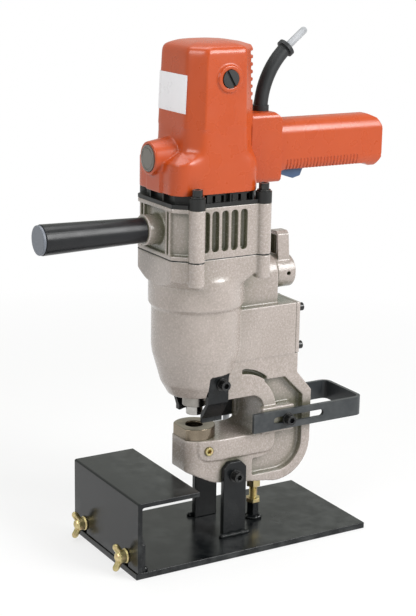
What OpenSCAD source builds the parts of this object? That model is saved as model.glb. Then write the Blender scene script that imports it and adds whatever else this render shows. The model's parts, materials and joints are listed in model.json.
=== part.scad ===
// Electric hydraulic hole punch on a bench stand, in millimetres.
// The punch axis is the Z axis and the underside of the stand is z = 0.
// +X points to the trigger handle, -X to the work rest and the side grip,
// -Y is the operator's right-hand side.

/* [Stand] */
// Length of the base plate
base_l = 255; // [240:1:300]
// Width of the base plate
base_w = 130; // [124:1:170]
// Thickness of the base plate
base_t = 6; // [4:0.5:8]
// Distance from the punch axis to the front edge of the base plate
base_front = 96; // [92:1:104]
// Width of the two upright lugs
lug_w = 25; // [20:1:30]
// Thickness of the lugs
lug_t = 6; // [4:0.5:9]
// Place of the lugs behind the punch axis
lug_x = 29; // [26:1:34]
// Height of the lug tops above the bench
lug_top = 81; // [76:1:88]
// Height of the lug screws above the bench
lug_screw_z = 67; // [66:0.5:70]
// Place of the jack post behind the punch axis
jack_x = 69; // [58:1:72]
// Thread diameter of the jack bolt
jack_d = 8; // [6:1:8]
// Width across flats of the jack post
post_w = 11; // [10.5:0.5:15]
// Height of the jack post above the base plate
post_h = 17; // [14:1:24]
// Height of the front upstand above the base plate
upstand_h = 32; // [22:1:36]
// Distance of the front upstand's ends from the sides of the base plate
upstand_in = 2; // [1:1:15]
// Leg of the weld beads
weld_leg = 3; // [2:0.5:4]

/* [Work rest] */
// How far the work rest stands out past each side of the base plate
rest_over = 1; // [0:0.5:8]
// Length of its top, from front to back
rest_l = 64; // [40:1:68]
// Thickness of its plate
rest_t = 4.5; // [3:0.5:6]
// Height of its top face above the bench
rest_top = 74; // [60:1:86]
// Distance of each wing bolt from the side of the base plate
wing_in = 22; // [16:1:28]
// Height of the wing bolts above the bench
wing_z = 16; // [15:0.5:20]
// Thread diameter of the wing bolts
wing_d = 6; // [5:0.5:8]
// Span of the wings
wing_span = 27; // [22:1:28]

/* [Frame] */
// Width of the jaw
jaw_w = 48; // [46:1:54]
// Depth of the throat behind the punch axis
throat_depth = 63; // [56:1:66]
// Height of the throat floor above the bench
jaw_top = 104; // [100:1:110]
// Height of the throat
throat_h = 38; // [36:1:42]
// Corner radius of the throat
throat_r = 13; // [8:1:16]
// Height of the underside of the frame above the bench
heel_z = 51; // [48:1:54]
// Rear face of the frame behind the punch axis
rear_x = 118; // [112:1:124]
// Radius of the heel
heel_r = 38; // [30:1:40]
// Width of the rim round the side pockets
rim_w = 10; // [7:0.5:12]
// Depth of the side pockets
pocket_d = 7; // [4:0.5:10]
// Width of the rib between throat and side pocket
rib_w = 15; // [12:1:18]
// Diameter of the cylinder bore
bore_d = 56; // [50:1:58]
// Length of the cylinder bore
bore_l = 113; // [112:1:124]
// Outside diameter of the cylinder body
body_d = 84; // [80:1:88]
// Width of the valve block
block_w = 50; // [46:1:56]
// Height of the valve block
block_h = 50; // [46:1:52]
// Rear face of the valve block behind the punch axis
block_x = 97; // [94:1:100]
// Thickness of the rear cover
cover_t = 4.5; // [3:0.5:6]

/* [Punch and die] */
// Diameter of the punch
punch_d = 16; // [8:0.5:17]
// Radial clearance of the punch in the die
die_gap = 0.25; // [0.1:0.05:0.6]
// Diameter of the die collar
die_d = 40; // [34:1:42]
// Height of the die collar
die_h = 11; // [8:0.5:12]
// Diameter of the die spigot
spigot_d = 28; // [26:1:32]
// Length of the die spigot
spigot_l = 16; // [12:1:18]
// Gap between the punch tip and the die
jaw_gap = 11; // [9:0.5:12]
// Stroke of the ram
stroke = 14; // [12:0.5:15]
// Diameter of the ram rod
rod_d = 26; // [24:1:28]
// Diameter of the punch nut
nut_d = 23.6; // [22:0.2:24]
// Wire diameter of the return spring
spring_wire = 4; // [3:0.5:4.5]

/* [Strippers and gauge] */
// Width of the stripper plates
strip_w = 22; // [18:1:24]
// Thickness of the stripper plates
strip_t = 5.5; // [4:0.5:6]
// Middle of the right stripper plate behind the punch axis
strip_x = 10; // [8:1:12]
// How far the left stripper stands ahead of the right one
strip_ahead = 10; // [6:1:12]
// How much higher the foot of the left stripper ends
strip_lift = 7; // [0:0.5:8]
// Height of the right stripper's foot above the die
foot_gap = 5.5; // [5:0.5:9]
// Height of the gauge strap
gauge_h = 19; // [16:1:22]
// Thickness of the gauge strap
gauge_t = 3.5; // [2.5:0.5:4.5]
// Rear face of the gauge strap behind the punch axis
gauge_x = 176; // [172:1:190]
// Front ends of the gauge strap behind the punch axis
gauge_front = 47.5; // [44:0.5:52]
// Place of the gauge screws behind the punch axis
gauge_screw_x = 86; // [84:1:88]
// Height of the gauge strap's middle above the throat floor
gauge_rise = 12; // [10:0.5:14]
// Thread diameter of the cap screws
screw_d = 6; // [5:0.5:6]

/* [Pump] */
// Height of the pump case
case_h = 47.4; // [46:0.2:54]
// Width of the pump case without its bolt columns
case_w = 84; // [82:1:90]
// Front face of the pump case ahead of the punch axis
case_front = 45; // [43:1:48]
// Rear face of the pump case behind the punch axis
case_rear = 50; // [49:1:54]
// Wall of the pump case
case_wall = 6; // [4:0.5:7]
// Depth of the slots between the fins
fin_deep = 6; // [4:0.5:7]
// Thickness of the fins
fin_t = 3; // [2:0.5:4]
// Pitch of the fins
fin_pitch = 10; // [9:0.5:12]
// Diameter of the bolt columns
column_d = 15; // [13:0.5:16]
// Height of the vented adapter ring
ring_h = 11; // [10:0.5:14]
// Diameter of the release lever's hub
hub_d = 32; // [28:1:34]
// Height of the release lever above its axis
lever_l = 40; // [34:1:44]

/* [Motor] */
// Height of the motor housing
housing_h = 134; // [128:1:144]
// Width of the motor housing below its crown
housing_w = 74; // [72:1:80]
// Place of the motor axis behind the punch axis
motor_x = 9; // [8:0.5:10]
// Wall of the motor housing
shell_t = 3; // [2:0.5:3]
// Diameter of the round front plug
plug_d = 24; // [20:1:25]
// Diameter of the brush caps
cap_d = 16; // [12:1:17]
// Module of the reduction gear
gear_m = 1; // [0.9:0.1:1]
// Teeth of the motor pinion
pinion_n = 12; // [12:1:13]
// Teeth of the drive gear
gear_n = 28; // [27:1:28]

/* [Handle] */
// Length of the hand grip behind its block
grip_l = 118; // [110:1:140]
// Height of the hand grip
grip_h = 48; // [44:1:52]
// Width of the hand grip
grip_w = 33; // [31:1:38]
// Length of the block between motor housing and grip
block_l = 33; // [30:1:38]
// Width of that block
block_wide = 40; // [36:1:42]
// Number of finger ribs
rib_n = 22; // [10:1:24]
// Travel of the trigger in degrees
trigger_turn = 8; // [4:1:8]
// Diameter of the side grip
side_d = 26; // [24:1:28]
// Length of the side grip's sleeve
side_l = 100; // [80:1:110]

/* [Cord] */
// Diameter of the power cord
cord_d = 7; // [6:0.5:7]
// Outside diameter of the cord guard
guard_d = 13; // [11:0.5:15]

/* [Hidden] */
$fn = 64;

// Clearances: faces that lie against each other, and running fits on the radius.
seat = 0.2;
fit = 0.05;
// Overlap that makes a cut or a union clean.
eps = 0.1;

// Heights, from the bench upwards.
throat_top = jaw_top + throat_h;
die_top = jaw_top + die_h;
punch_tip = die_top + jaw_gap;
body_foot = throat_top + 6;
bore_floor = body_foot + 24;
deck_z = bore_floor + bore_l;
gasket_t = 0.6;
case_z = deck_z + gasket_t;
case_top = case_z + case_h;
ring_top = case_top + ring_h;
housing_top = ring_top + housing_h;

// Frame outline.
nose_x = -17;
nose_r = 21;
chin_z = jaw_top - 31;
chin_x = 8;
chin_low = jaw_top - 43;
heel_x = rear_x - heel_r;
knee_z = throat_top - 3;
back_x = block_x + cover_t;
block_z = throat_top + 37;
block_top = block_z + block_h;
neck_r = body_d / 2 + 3;
boss_r = hub_d / 2 + 2;
release_z = deck_z - 29;
boss_x = 80;
pad_y = jaw_w / 2 + 4.7;
pad_size = 26;
under_slope = (heel_z - chin_low) / (heel_x - chin_x);
set_screw = [3.5, jaw_top - 10.5];
band_t = 1.5;
spindle_r = 6;
cover_screw_y = block_w / 2 - 5;
cover_screw_z = [block_z + 6, block_top - 6];

// Work rest and its bolts.
rest_x = 1 - base_front;
rest_w = base_w + 2 * rest_over;
rest_bend = 2;
wing_y = base_w / 2 - wing_in;
upstand_w = base_w - 2 * upstand_in;
slot_w = wing_d + 0.6;
upstand_x = rest_x + rest_t + seat;
upstand_t = 4.5;
washer_t = 1.6;

// Jack: the bolt's head stays below the sloping underside of the frame.
jack_head = 13;
jack_head_h = 11.5;
jack_top = chin_low + under_slope * (jack_x + jack_head * 0.58 - chin_x) - 0.3;
jack_nut_h = 4;

// Lugs lie against the jaw.
lug_in = jaw_w / 2 + seat;
lug_out = lug_in + lug_t;

// Ram: piston at rest near the top of the bore.
rod_r = rod_d / 2;
bush_r = rod_r + 3;
piston_h = 24;
spring_room = 40;
piston_z = bore_floor + spring_room + stroke;
piston_top = piston_z + piston_h;
nut_z = punch_tip + 9;
nut_lip = 2.5;
nut_top = body_foot + 1.5;
punch_head_h = 5.5;
head_r = nut_d / 2 - 1.8;
spring_r = (bore_d / 2 + rod_r) / 2;
spring_turns = 6;

// Strippers stand in a flat seat milled into the body.
strip_y = jaw_w / 2 - 2;
strip_out = strip_y + strip_t;
strip_top = throat_top + 28;
strip_screw_x = strip_x + 4;
strip_screw_z = throat_top + 18;
strip_tip = nut_d / 2 + 1.4;
foot_z = die_top + foot_gap;

// Gauge strap.
gauge_in = pad_y + 0.1;
gauge_out = gauge_in + gauge_t;
gauge_z = jaw_top + gauge_rise;
gauge_slot = screw_d + 0.8;
slot_front = gauge_screw_x - 12.5 - gauge_slot / 2;
slot_rear = gauge_screw_x + 38.5 + gauge_slot / 2;

// Pump and reduction gear.
column_front = [-27, case_w / 2 + 4];
column_rear = [case_rear - 3.5, case_w / 2 - 2];
columns = [
  column_front, column_rear,
  [column_front.x, -column_front.y], [column_rear.x, -column_rear.y]
];
bolt_d = 6;
crank_x = motor_x - gear_m * (pinion_n + gear_n) / 2;
crank_r = 6;
cam_throw = 2;
cam_z = deck_z + 11;
cam_h = 12;
gear_z = deck_z + 31;
gear_h = 8;
plunger_r = 4;
pump_r = case_w / 2 - 4 - case_wall - 1;
pump_h = 27;
cam_r = pump_r * 0.29;
block_in_r = cam_r + cam_throw - crank_x + 1;
fin_x = column_front.x + column_d / 2 + 1;

// Motor.
shaft_r = 4;
bearing_h = 7;
bearing_r = 11;
crown_r = 9.5;
plate_t = 3.5;
skirt_rear = 45;
skirt_w = housing_w + 5;
skirt_h = 28;
brush_z = housing_top - 32;
disc_z = ring_top + 30;
disc_x = -52;
stator_r = housing_w / 2 - shell_t - 1.6;
core_r = 19;
commutator_r = 11;
stator_in = 20;
stator_z = ring_top + 30;
stator_h = housing_h - 82;
vent_pitch = housing_h / 20;

// Handle: block against the housing, then the grip.
block_x0 = skirt_rear;
grip_x = block_x0 + block_l;
grip_end = grip_x + grip_l;
grip_top = ring_top + 59;
grip_low = grip_top - grip_h;
block_low = ring_top + 2;
block_high = ring_top + 67;
pivot = [grip_x + 8, grip_low + 13];
trigger_w = 13;
open_x = pivot.x + 26.5 + trigger_turn / 4;
switch_z = pivot.y + 7 + trigger_turn / 4;
pin_r = 2;
wall = 3;
rib_pitch = (grip_l - 34) / rib_n;
// Screws between the halves: place in the side view, and half the width there.
handle_screw_at = [
  [block_x0 + 9, block_high - 9, block_wide / 2], [block_x0 + 9, block_low + 9, block_wide / 2],
  [grip_end - 14, grip_low + grip_h / 2, grip_w / 2]
];

// Side grip.
side_z = case_z + 23.4;
side_boss = case_front + 12;
stud_r = 6;
side_end = side_boss + 0.6 + side_l;

// Cord guard: an arc that leaves the block's top upwards and bends back.
guard_x = grip_x - 12;
guard_r = 74;
guard_turn = 51;
guard_tip = [
  guard_x + guard_r * (1 - cos(guard_turn)), 0,
  block_high + guard_r * sin(guard_turn)
];
guard_dir = [sin(guard_turn), 0, cos(guard_turn)];

// Put-away coil of the cord on the bench behind the stand: two layers that
// spiral in and out again, with a half turn of climb between them.
coil_x = 144;
coil_y = 145;
coil_r = 47;
coil_gap = 0.6;
coil_turns = 2.375;
coil_pitch = cord_d + coil_gap;
cord_z = cord_d / 2 + 0.1;
coil_rings = 24;
coil_total = 2 * coil_turns + 0.5;
coil_start = [coil_x - cord_d, coil_y - coil_r, cord_z];

// Cord from the guard to the coil: a loop that turns it downwards, a fall behind
// the machine, and a bend on to the bench.
loop_r = 29;
loop_lead = 4;
loop_side = unit([0.28, 0.895, -0.346]);
drop = [coil_x - 48, coil_y - coil_r];
drop_top = 180;
floor_r = 31;
loop_points = [for (a = [0 : 15 : 180])
  guard_tip + (loop_lead + loop_r * sin(a)) * guard_dir + loop_r * (1 - cos(a)) * loop_side];
loop_end = loop_points[len(loop_points) - 1];
fall_points = [for (i = [1 : 14]) bezier(
  loop_end, loop_end - 30 * guard_dir, [drop.x, drop.y, drop_top + 80], [drop.x, drop.y, drop_top], i / 14)];
drop_points = [for (z = [drop_top - 20 : -20 : cord_z + floor_r + 10]) [drop.x, drop.y, z]];
bend_points = [for (a = [0 : 15 : 90])
  [drop.x + floor_r * (1 - cos(a)), drop.y, cord_z + floor_r * (1 - sin(a))]];
cord_points = concat([guard_tip], loop_points, fall_points, drop_points, bend_points, [coil_start]);
function bezier(a, b, c, d, t) =
  a * pow(1 - t, 3) + b * 3 * t * pow(1 - t, 2) + c * 3 * pow(t, 2) * (1 - t) + d * pow(t, 3);

// Radius and height along the coil, by turns.
function coil_radius(t) = coil_r - coil_pitch * min(t, coil_total - t);
function coil_height(t) = cord_z + coil_pitch * min(1, max(0, (t - coil_turns) / 0.5));
function coil_point(t) =
  let (a = 360 * t - 90)
  [coil_x + coil_radius(t) * cos(a), coil_y + coil_radius(t) * sin(a), coil_height(t)];
coil_end = coil_point(coil_total);
tail_l = 13;
coil_points = concat(
  [coil_start],
  [for (i = [0 : coil_rings * coil_total]) coil_point(i / coil_rings)],
  [for (k = [1 : 3]) coil_end + [0, tail_l * k / 3, 0]]
);
plug_y = coil_end.y + tail_l;
plug_r = coil_end.z - 0.1;
function path_length(path) =
  len(path) < 2 ? 0 :
  [for (i = [1 : len(path) - 1]) norm(path[i] - path[i - 1])] * [for (i = [2 : len(path)]) 1];
echo("length of the cord", path_length(cord_points) + path_length(coil_points));

// Least gap of the coil to itself, between points half a turn or more apart.
coil_least = min([
  for (i = [0 : len(coil_points) - 1])
    for (j = [i + coil_rings / 2 : 1 : len(coil_points) - 1])
      norm(coil_points[i] - coil_points[j])
]) - cord_d;
echo("least gap of the coil to itself", coil_least);

// Swept tubes: rings of points square to the path, carried along without twist.
function unit(v) = v / norm(v);
function heading(path, i) =
  unit(path[min(i + 1, len(path) - 1)] - path[max(i - 1, 0)]);
function carried(path, i, side, found) =
  i == len(path) ? found :
  let (t = heading(path, i), s = unit(side - t * (side * t)))
  carried(path, i + 1, s, concat(found, [s]));
function ring(p, t, s, r, n) =
  let (b = cross(t, s))
  [for (k = [0 : n - 1]) p + r * (cos(360 * k / n) * s + sin(360 * k / n) * b)];

module tube(path, r, n, side, first, last) {
  sides = carried(path, 0, side, []);
  top = len(path) - 1;
  points = [
    for (i = [0 : top])
      let (t = i == 0 ? first : i == top ? last : heading(path, i))
      each ring(path[i], t, unit(sides[i] - t * (sides[i] * t)), r, n)
  ];
  walls = [
    for (i = [0 : top - 1]) for (k = [0 : n - 1])
      let (a = i * n + k, b = i * n + (k + 1) % n)
      each [[a, b + n, b], [a, a + n, b + n]]
  ];
  caps = [
    for (k = [1 : n - 2]) each [
      [0, k, k + 1], [top * n, top * n + k + 1, top * n + k]
    ]
  ];
  polyhedron(points, concat(walls, caps), convexity = 10);
}

// Involute gear outline, thinned for backlash.
function inv(a) = tan(a) * 180 / PI - a;
function gear_outline(n, m, pressure, add, ded, thin) =
  let (
    pitch = m * n / 2, base = pitch * cos(pressure), root = pitch - ded * m,
    half = (PI * m / 2 - thin) / 2 / pitch * 180 / PI,
    low = max(base, root), high = pitch + add * m,
    radii = [for (k = [0 : 4]) low + (high - low) * k / 4],
    spread = [for (r = radii) half + inv(pressure) - inv(acos(min(1, base / r)))]
  )
  [for (i = [0 : n - 1]) let (a = 360 * i / n) each concat(
    [root * [cos(a - spread[0]), sin(a - spread[0])]],
    [for (k = [0 : 4]) radii[k] * [cos(a - spread[k]), sin(a - spread[k])]],
    [for (k = [4 : -1 : 0]) radii[k] * [cos(a + spread[k]), sin(a + spread[k])]],
    [root * [cos(a + spread[0]), sin(a + spread[0])]]
  )];

// Extrusions of a side view, an end view and a plan, between two planes.
module xz(y0, y1) translate([0, y1, 0]) rotate([90, 0, 0]) linear_extrude(y1 - y0) children();
module yz(x0, x1) translate([x0, 0, 0]) rotate([90, 0, 90]) linear_extrude(x1 - x0) children();
module xy(z0, z1) translate([0, 0, z0]) linear_extrude(z1 - z0) children();
module box(a, b) translate(a) cube(b - a);
module rect(a, b) translate(a) square(b - a);
module round_rect(a, b, r) {
  rect([a.x + r, a.y], [b.x - r, b.y]);
  rect([a.x, a.y + r], [b.x, b.y - r]);
  for (x = [a.x + r, b.x - r]) for (y = [a.y + r, b.y - r]) translate([x, y]) circle(r);
}
module rod_x(r, x0, x1, y = 0, z = 0)
  translate([x0, y, z]) rotate([0, 90, 0]) cylinder(r = r, h = x1 - x0);
module rod_y(r, y0, y1, x = 0, z = 0)
  translate([x, y1, z]) rotate([90, 0, 0]) cylinder(r = r, h = y1 - y0);
module rod_z(r, z0, z1, x = 0, y = 0) translate([x, y, z0]) cylinder(r = r, h = z1 - z0);
module both_sides() {
  children();
  mirror([0, 1, 0]) children();
}
module both_halves() {
  children();
  mirror([0, 1]) children();
}
// Corners of a rectangle with cut corners, f at the front and c at the back.
function octagon(x0, x1, h, c, f) = [
  [x0, f - h], [x0 + f, -h], [x1 - c, -h], [x1, c - h],
  [x1, h - c], [x1 - c, h], [x0 + f, h], [x0, h - f]
];

// Socket cap screw that points down, its head resting on z = 0, with a washer.
module cap_screw(d, l, washer = true) {
  lift = washer ? washer_t : 0;
  difference() {
    union() {
      translate([0, 0, lift]) cylinder(d = 1.6 * d, h = d);
      translate([0, 0, -l]) cylinder(d = d, h = l + lift + eps);
    }
    translate([0, 0, lift + d * 0.45]) cylinder(d = 0.95 * d, h = d, $fn = 6);
  }
  if (washer) difference() {
    cylinder(d = 2.1 * d, h = washer_t - 0.02);
    translate([0, 0, -eps]) cylinder(d = d + 0.4, h = washer_t + 1);
  }
}
// Places a screw that points to +Y on the right-hand side of the part.
module screw_from_right(x, y, z, d, l)
  translate([x, -y, z]) rotate([90, 0, 0]) cap_screw(d, l);

module base_plate() color("#3a3c3b")
  box([-base_front, -base_w / 2, 0], [base_l - base_front, base_w / 2, base_t]);

module lug(y0, y1) {
  c = lug_w / 4;
  difference() {
    xz(y0, y1) polygon([
      [lug_x - lug_w / 2, base_t], [lug_x + lug_w / 2, base_t],
      [lug_x + lug_w / 2, lug_top - c], [lug_x + lug_w / 2 - c, lug_top],
      [lug_x - lug_w / 2 + c, lug_top], [lug_x - lug_w / 2, lug_top - c]
    ]);
    rod_y(screw_d / 2 + 0.2, y0 - 1, y1 + 1, lug_x, lug_screw_z);
  }
}
module right_lug() color("#3a3c3b") lug(-lug_out, -lug_in);
module left_lug() color("#3a3c3b") lug(lug_in, lug_out);

module front_upstand() color("#3a3c3b") difference() {
  yz(upstand_x, upstand_x + upstand_t) polygon([
    [-upstand_w / 2, base_t], [upstand_w / 2, base_t],
    [upstand_w / 2, base_t + upstand_h - 6], [upstand_w / 2 - 6, base_t + upstand_h],
    [6 - upstand_w / 2, base_t + upstand_h], [-upstand_w / 2, base_t + upstand_h - 6]
  ]);
  both_sides() rod_x(wing_d / 2 + fit, upstand_x - 1, upstand_x + upstand_t + 1, wing_y, wing_z);
}

module jack_post() color("#3a3c3b") translate([jack_x, 0, base_t]) difference() {
  cylinder(d = post_w / cos(30), h = post_h, $fn = 6);
  translate([0, 0, 2]) cylinder(d = jack_d + 2 * fit, h = post_h);
}

// Fillet welds along the feet of lugs and upstand, and round the post.
module weld_beads() color("#2c2d2d") {
  both_sides() translate([lug_x - lug_w / 2 - 2, lug_out, base_t]) yz(0, lug_w + 4)
    polygon([[0, 0], [weld_leg, 0], [0, weld_leg]]);
  translate([0, 2 - upstand_w / 2, 0]) xz(0, upstand_w - 4) translate([upstand_x + upstand_t, base_t])
    polygon([[0, 0], [weld_leg, 0], [0, weld_leg]]);
  translate([jack_x, 0, base_t]) difference() {
    cylinder(r1 = post_w / 2 + weld_leg, r2 = post_w / 2 + 0.5, h = weld_leg);
    translate([0, 0, -eps]) cylinder(d = post_w / cos(30), h = weld_leg + 1, $fn = 6);
  }
}

module jack_bolt() color("#b59a4e") translate([jack_x, 0, 0]) {
  translate([0, 0, jack_top - jack_head_h]) cylinder(d = jack_head / cos(30), h = jack_head_h, $fn = 6);
  rod_z(jack_d / 2, base_t + 3, jack_top - eps);
}

module jack_lock_nut() color("#b59a4e") translate([jack_x, 0, base_t + post_h]) difference() {
  cylinder(d = jack_head / cos(30), h = jack_nut_h, $fn = 6);
  translate([0, 0, -eps]) cylinder(d = jack_d + 2 * fit, h = jack_nut_h + 1);
}

// Bent plate with slots that are open below, so that it lifts off.
module work_rest() color("#3f4140") difference() {
  xz(-rest_w / 2, rest_w / 2) {
    rect([rest_x, base_t + seat], [rest_x + rest_t, rest_top - rest_bend]);
    rect([rest_x + rest_bend, rest_top - rest_t], [rest_x + rest_l, rest_top]);
    translate([rest_x + rest_bend, rest_top - rest_bend]) circle(rest_bend);
    translate([rest_x + rest_t, rest_top - rest_t]) difference() {
      rect([-eps, -rest_bend], [rest_bend, eps]);
      translate([rest_bend, -rest_bend]) circle(rest_bend);
    }
  }
  both_sides() yz(rest_x - 1, rest_x + rest_t + 0.1) translate([wing_y, 0]) {
    rect([-slot_w / 2, 0], [slot_w / 2, wing_z]);
    translate([0, wing_z]) circle(d = slot_w);
  }
}

// Wing bolt along X with its washer; the wings stand upright.
module wing_bolt(y) color("#b59a4e") translate([rest_x - 0.1, y, wing_z]) {
  rod_x(wing_d / 2, -washer_t - eps, rest_t + upstand_t + 4);
  rod_x(wing_d, -washer_t - 7, -washer_t);
  xz(-1.5, 1.5) for (s = [1, -1]) polygon([
    [-washer_t - 1.5, 0], [-washer_t - 6.5, 0], [-washer_t - 12, s * (wing_span / 2 - 4)],
    [-washer_t - 11.5, s * (wing_span / 2 - 1)], [-washer_t - 9, s * wing_span / 2],
    [-washer_t - 6, s * (wing_span / 2 - 2)]
  ]);
  difference() {
    rod_x(wing_d * 1.15, 0.02 - washer_t, 0);
    rod_x(wing_d / 2 + 0.2, -washer_t - 1, 1);
  }
}
module right_wing_bolt() wing_bolt(-wing_y);
module left_wing_bolt() wing_bolt(wing_y);

// Side view of the C-shaped frame without its throat.
module frame_side() {
  polygon([
    [nose_x - 10, jaw_top], [nose_x - 10, chin_z + 5], [nose_x, chin_z],
    [chin_x, chin_low], [heel_x, heel_z], [rear_x, heel_z + heel_r], [rear_x, knee_z],
    [back_x, knee_z + rear_x - back_x + 3], [back_x, block_z + 4], [0, block_z + 4], [0, jaw_top]
  ]);
  translate([heel_x, heel_z + heel_r]) circle(heel_r);
}
module throat_side()
  round_rect([nose_x - 60, jaw_top], [throat_depth, throat_top], throat_r);
// Pocket in each side of the frame, between the rim and the rib round the throat.
module pocket_side() difference() {
  union() {
    polygon([
      [throat_depth - 11, heel_z + rim_w], [heel_x, heel_z + rim_w],
      [rear_x - rim_w, heel_z + heel_r], [rear_x - rim_w, knee_z - 4],
      [block_x - rim_w, knee_z + 17], [throat_depth, knee_z + 17], [throat_depth - 11, jaw_top]
    ]);
    translate([heel_x, heel_z + heel_r]) circle(heel_r - rim_w);
  }
  round_rect([0, jaw_top - 26], [throat_depth + rib_w, throat_top - 2], 18);
  translate([throat_depth - 27, throat_top - 19]) circle(27 + rib_w);
  rect([0, heel_z], [throat_depth - 11, knee_z + 40]);
}
module pad_side()
  rect([throat_depth - 4, gauge_z - pad_size / 2], [gauge_screw_x + 9, gauge_z + pad_size / 2]);
module crescent_side() intersection() {
  translate([throat_depth - 27, throat_top - 19]) difference() {
    circle(27 + rib_w + 5);
    translate([2, -1]) circle(27 + rib_w + 1);
  }
  rect([throat_depth - 25, throat_top], [throat_depth + 3, throat_top + 40]);
}
// Raised band along the jaw, below and behind the throat.
module band_side() difference() {
  round_rect([set_screw.x - 10, jaw_top - 20.5], [throat_depth + rib_w - 2, gauge_z + 5], 10);
  throat_side();
}
module band_plan() polygon([
  [set_screw.x - 11, -nose_r], [14, -jaw_w / 2 - band_t], [rear_x, -jaw_w / 2 - band_t],
  [rear_x, jaw_w / 2 + band_t], [14, jaw_w / 2 + band_t], [set_screw.x - 11, nose_r]
]);
// Plan of the jaw with its flat nose.
module jaw_plan() {
  intersection() {
    circle(nose_r);
    rect([nose_x, -nose_r], [nose_r, nose_r]);
  }
  polygon([
    [0, -nose_r], [14, -jaw_w / 2], [rear_x + 5, -jaw_w / 2],
    [rear_x + 5, jaw_w / 2], [14, jaw_w / 2], [0, nose_r]
  ]);
}
// Plan of the pump case, drawn in by i.
module case_plan(i = 0) {
  h = case_w / 2 - i;
  polygon([
    [i - case_front, h - 10], [i - case_front + 11, h], [case_rear - i - 6, h], [case_rear - i, h - 6],
    [case_rear - i, 6 - h], [case_rear - i - 6, -h], [i - case_front + 11, -h], [i - case_front, 10 - h]
  ]);
}
// Seat of a stripper: flat face for the leg, room for the foot, a drafted front and the screw's thread.
module strip_seat(lift) {
  front = strip_x - strip_w / 2;
  xy(jaw_top + 1, strip_top + 0.5) polygon([
    [front - 0.5, strip_y], [front - 9, body_d], [strip_x, body_d], [strip_x, strip_y]
  ]);
  yz(strip_x - strip_w / 2 - 0.5, strip_x + strip_w / 2 + 0.5) polygon([
    [body_d, jaw_top + 1], [body_d, strip_top + 0.5], [strip_y, strip_top + 0.5],
    [strip_y, throat_top + 7 + lift], [strip_tip - 3.5, foot_z + 5.5 + lift], [strip_tip - 3.5, jaw_top + 1]
  ]);
  rod_y(screw_d / 2 + fit, strip_y - 5.3, strip_y + 1, strip_screw_x, strip_screw_z);
}
module frame_casting() color("#a59b91") difference() {
  union() {
    intersection() {
      xz(-jaw_w / 2, jaw_w / 2) difference() {
        frame_side();
        throat_side();
      }
      xy(0, deck_z) jaw_plan();
    }
    rotate_extrude() polygon([
      [0, body_foot], [body_d / 2 - 16, body_foot], [body_d / 2 - 9, body_foot + 12],
      [body_d / 2 - 1, body_foot + 40], [body_d / 2, body_foot + 48], [body_d / 2, block_top + 4],
      [neck_r, block_top + 8], [neck_r, deck_z - 20], [0, deck_z - 20]
    ]);
    intersection() {
      xy(deck_z - 26, deck_z) case_plan();
      translate([0, 0, deck_z - 28]) cylinder(r1 = neck_r, r2 = neck_r + 28, h = 28);
    }
    for (c = columns) rod_z(column_d / 2, deck_z - 22, deck_z, c.x, c.y);
    box([body_d / 4, -block_w / 2, block_z], [block_x, block_w / 2, block_top]);
    yz(body_d / 4, boss_x) {
      rect([-boss_r, block_top - 1], [boss_r, release_z]);
      translate([0, release_z]) circle(boss_r);
    }
    both_sides() xz(jaw_w / 2 - 3, pad_y) pad_side();
    intersection() {
      xz(-jaw_w, jaw_w) band_side();
      xy(0, deck_z) band_plan();
    }
  }
  // Cylinder bore, rod bush and the room for the punch nut below it.
  rod_z(bore_d / 2, bore_floor, deck_z + 1);
  rod_z(bush_r + fit, body_foot - 1, bore_floor + 1);
  rod_z(bush_r + 2, jaw_top + 1, body_foot);
  // Die seat, slug hole and set screw.
  rod_z(spigot_d / 2 + fit, jaw_top - spigot_l, jaw_top + 1);
  rod_z(punch_d / 2 + 3, 0, jaw_top);
  rod_y(4 + fit, -jaw_w, -spigot_d / 2 + 3, set_screw.x, set_screw.y);
  // Side pockets.
  both_sides() xz(jaw_w / 2 - pocket_d, pad_y + 1) difference() {
    union() {
      pocket_side();
      crescent_side();
    }
    pad_side();
  }
  // Seats and threads of the strippers, the gauge strap and the lugs.
  mirror([0, 1, 0]) strip_seat(0);
  translate([-strip_ahead, 0, 0]) strip_seat(strip_lift);
  both_sides() {
    rod_y(screw_d / 2 + fit, jaw_w / 2 - 11, pad_y + 1, gauge_screw_x, gauge_z);
    rod_y(screw_d / 2 + fit, jaw_w / 2 - 12, jaw_w / 2 + 1, lug_x, lug_screw_z);
    for (z = cover_screw_z)
      rod_x(2.5 + fit, block_x - 12, block_x + 1, cover_screw_y, z);
  }
  // Seat of the rear cover, oil space behind it, and the release valve.
  box([block_x, -block_w, block_z - 0.3], [back_x + 1, block_w, block_top + 1]);
  box([block_x - 40, -block_w / 2 + 7, block_z + 12], [block_x + 1, block_w / 2 - 7, block_top - 12]);
  rod_x(spindle_r + fit, boss_x - 30, boss_x + 1, 0, release_z);
  // Threads of the housing bolts.
  for (c = columns) rod_z(bolt_d / 2 + fit, deck_z - 18, deck_z + 1, c.x, c.y);
}

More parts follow.
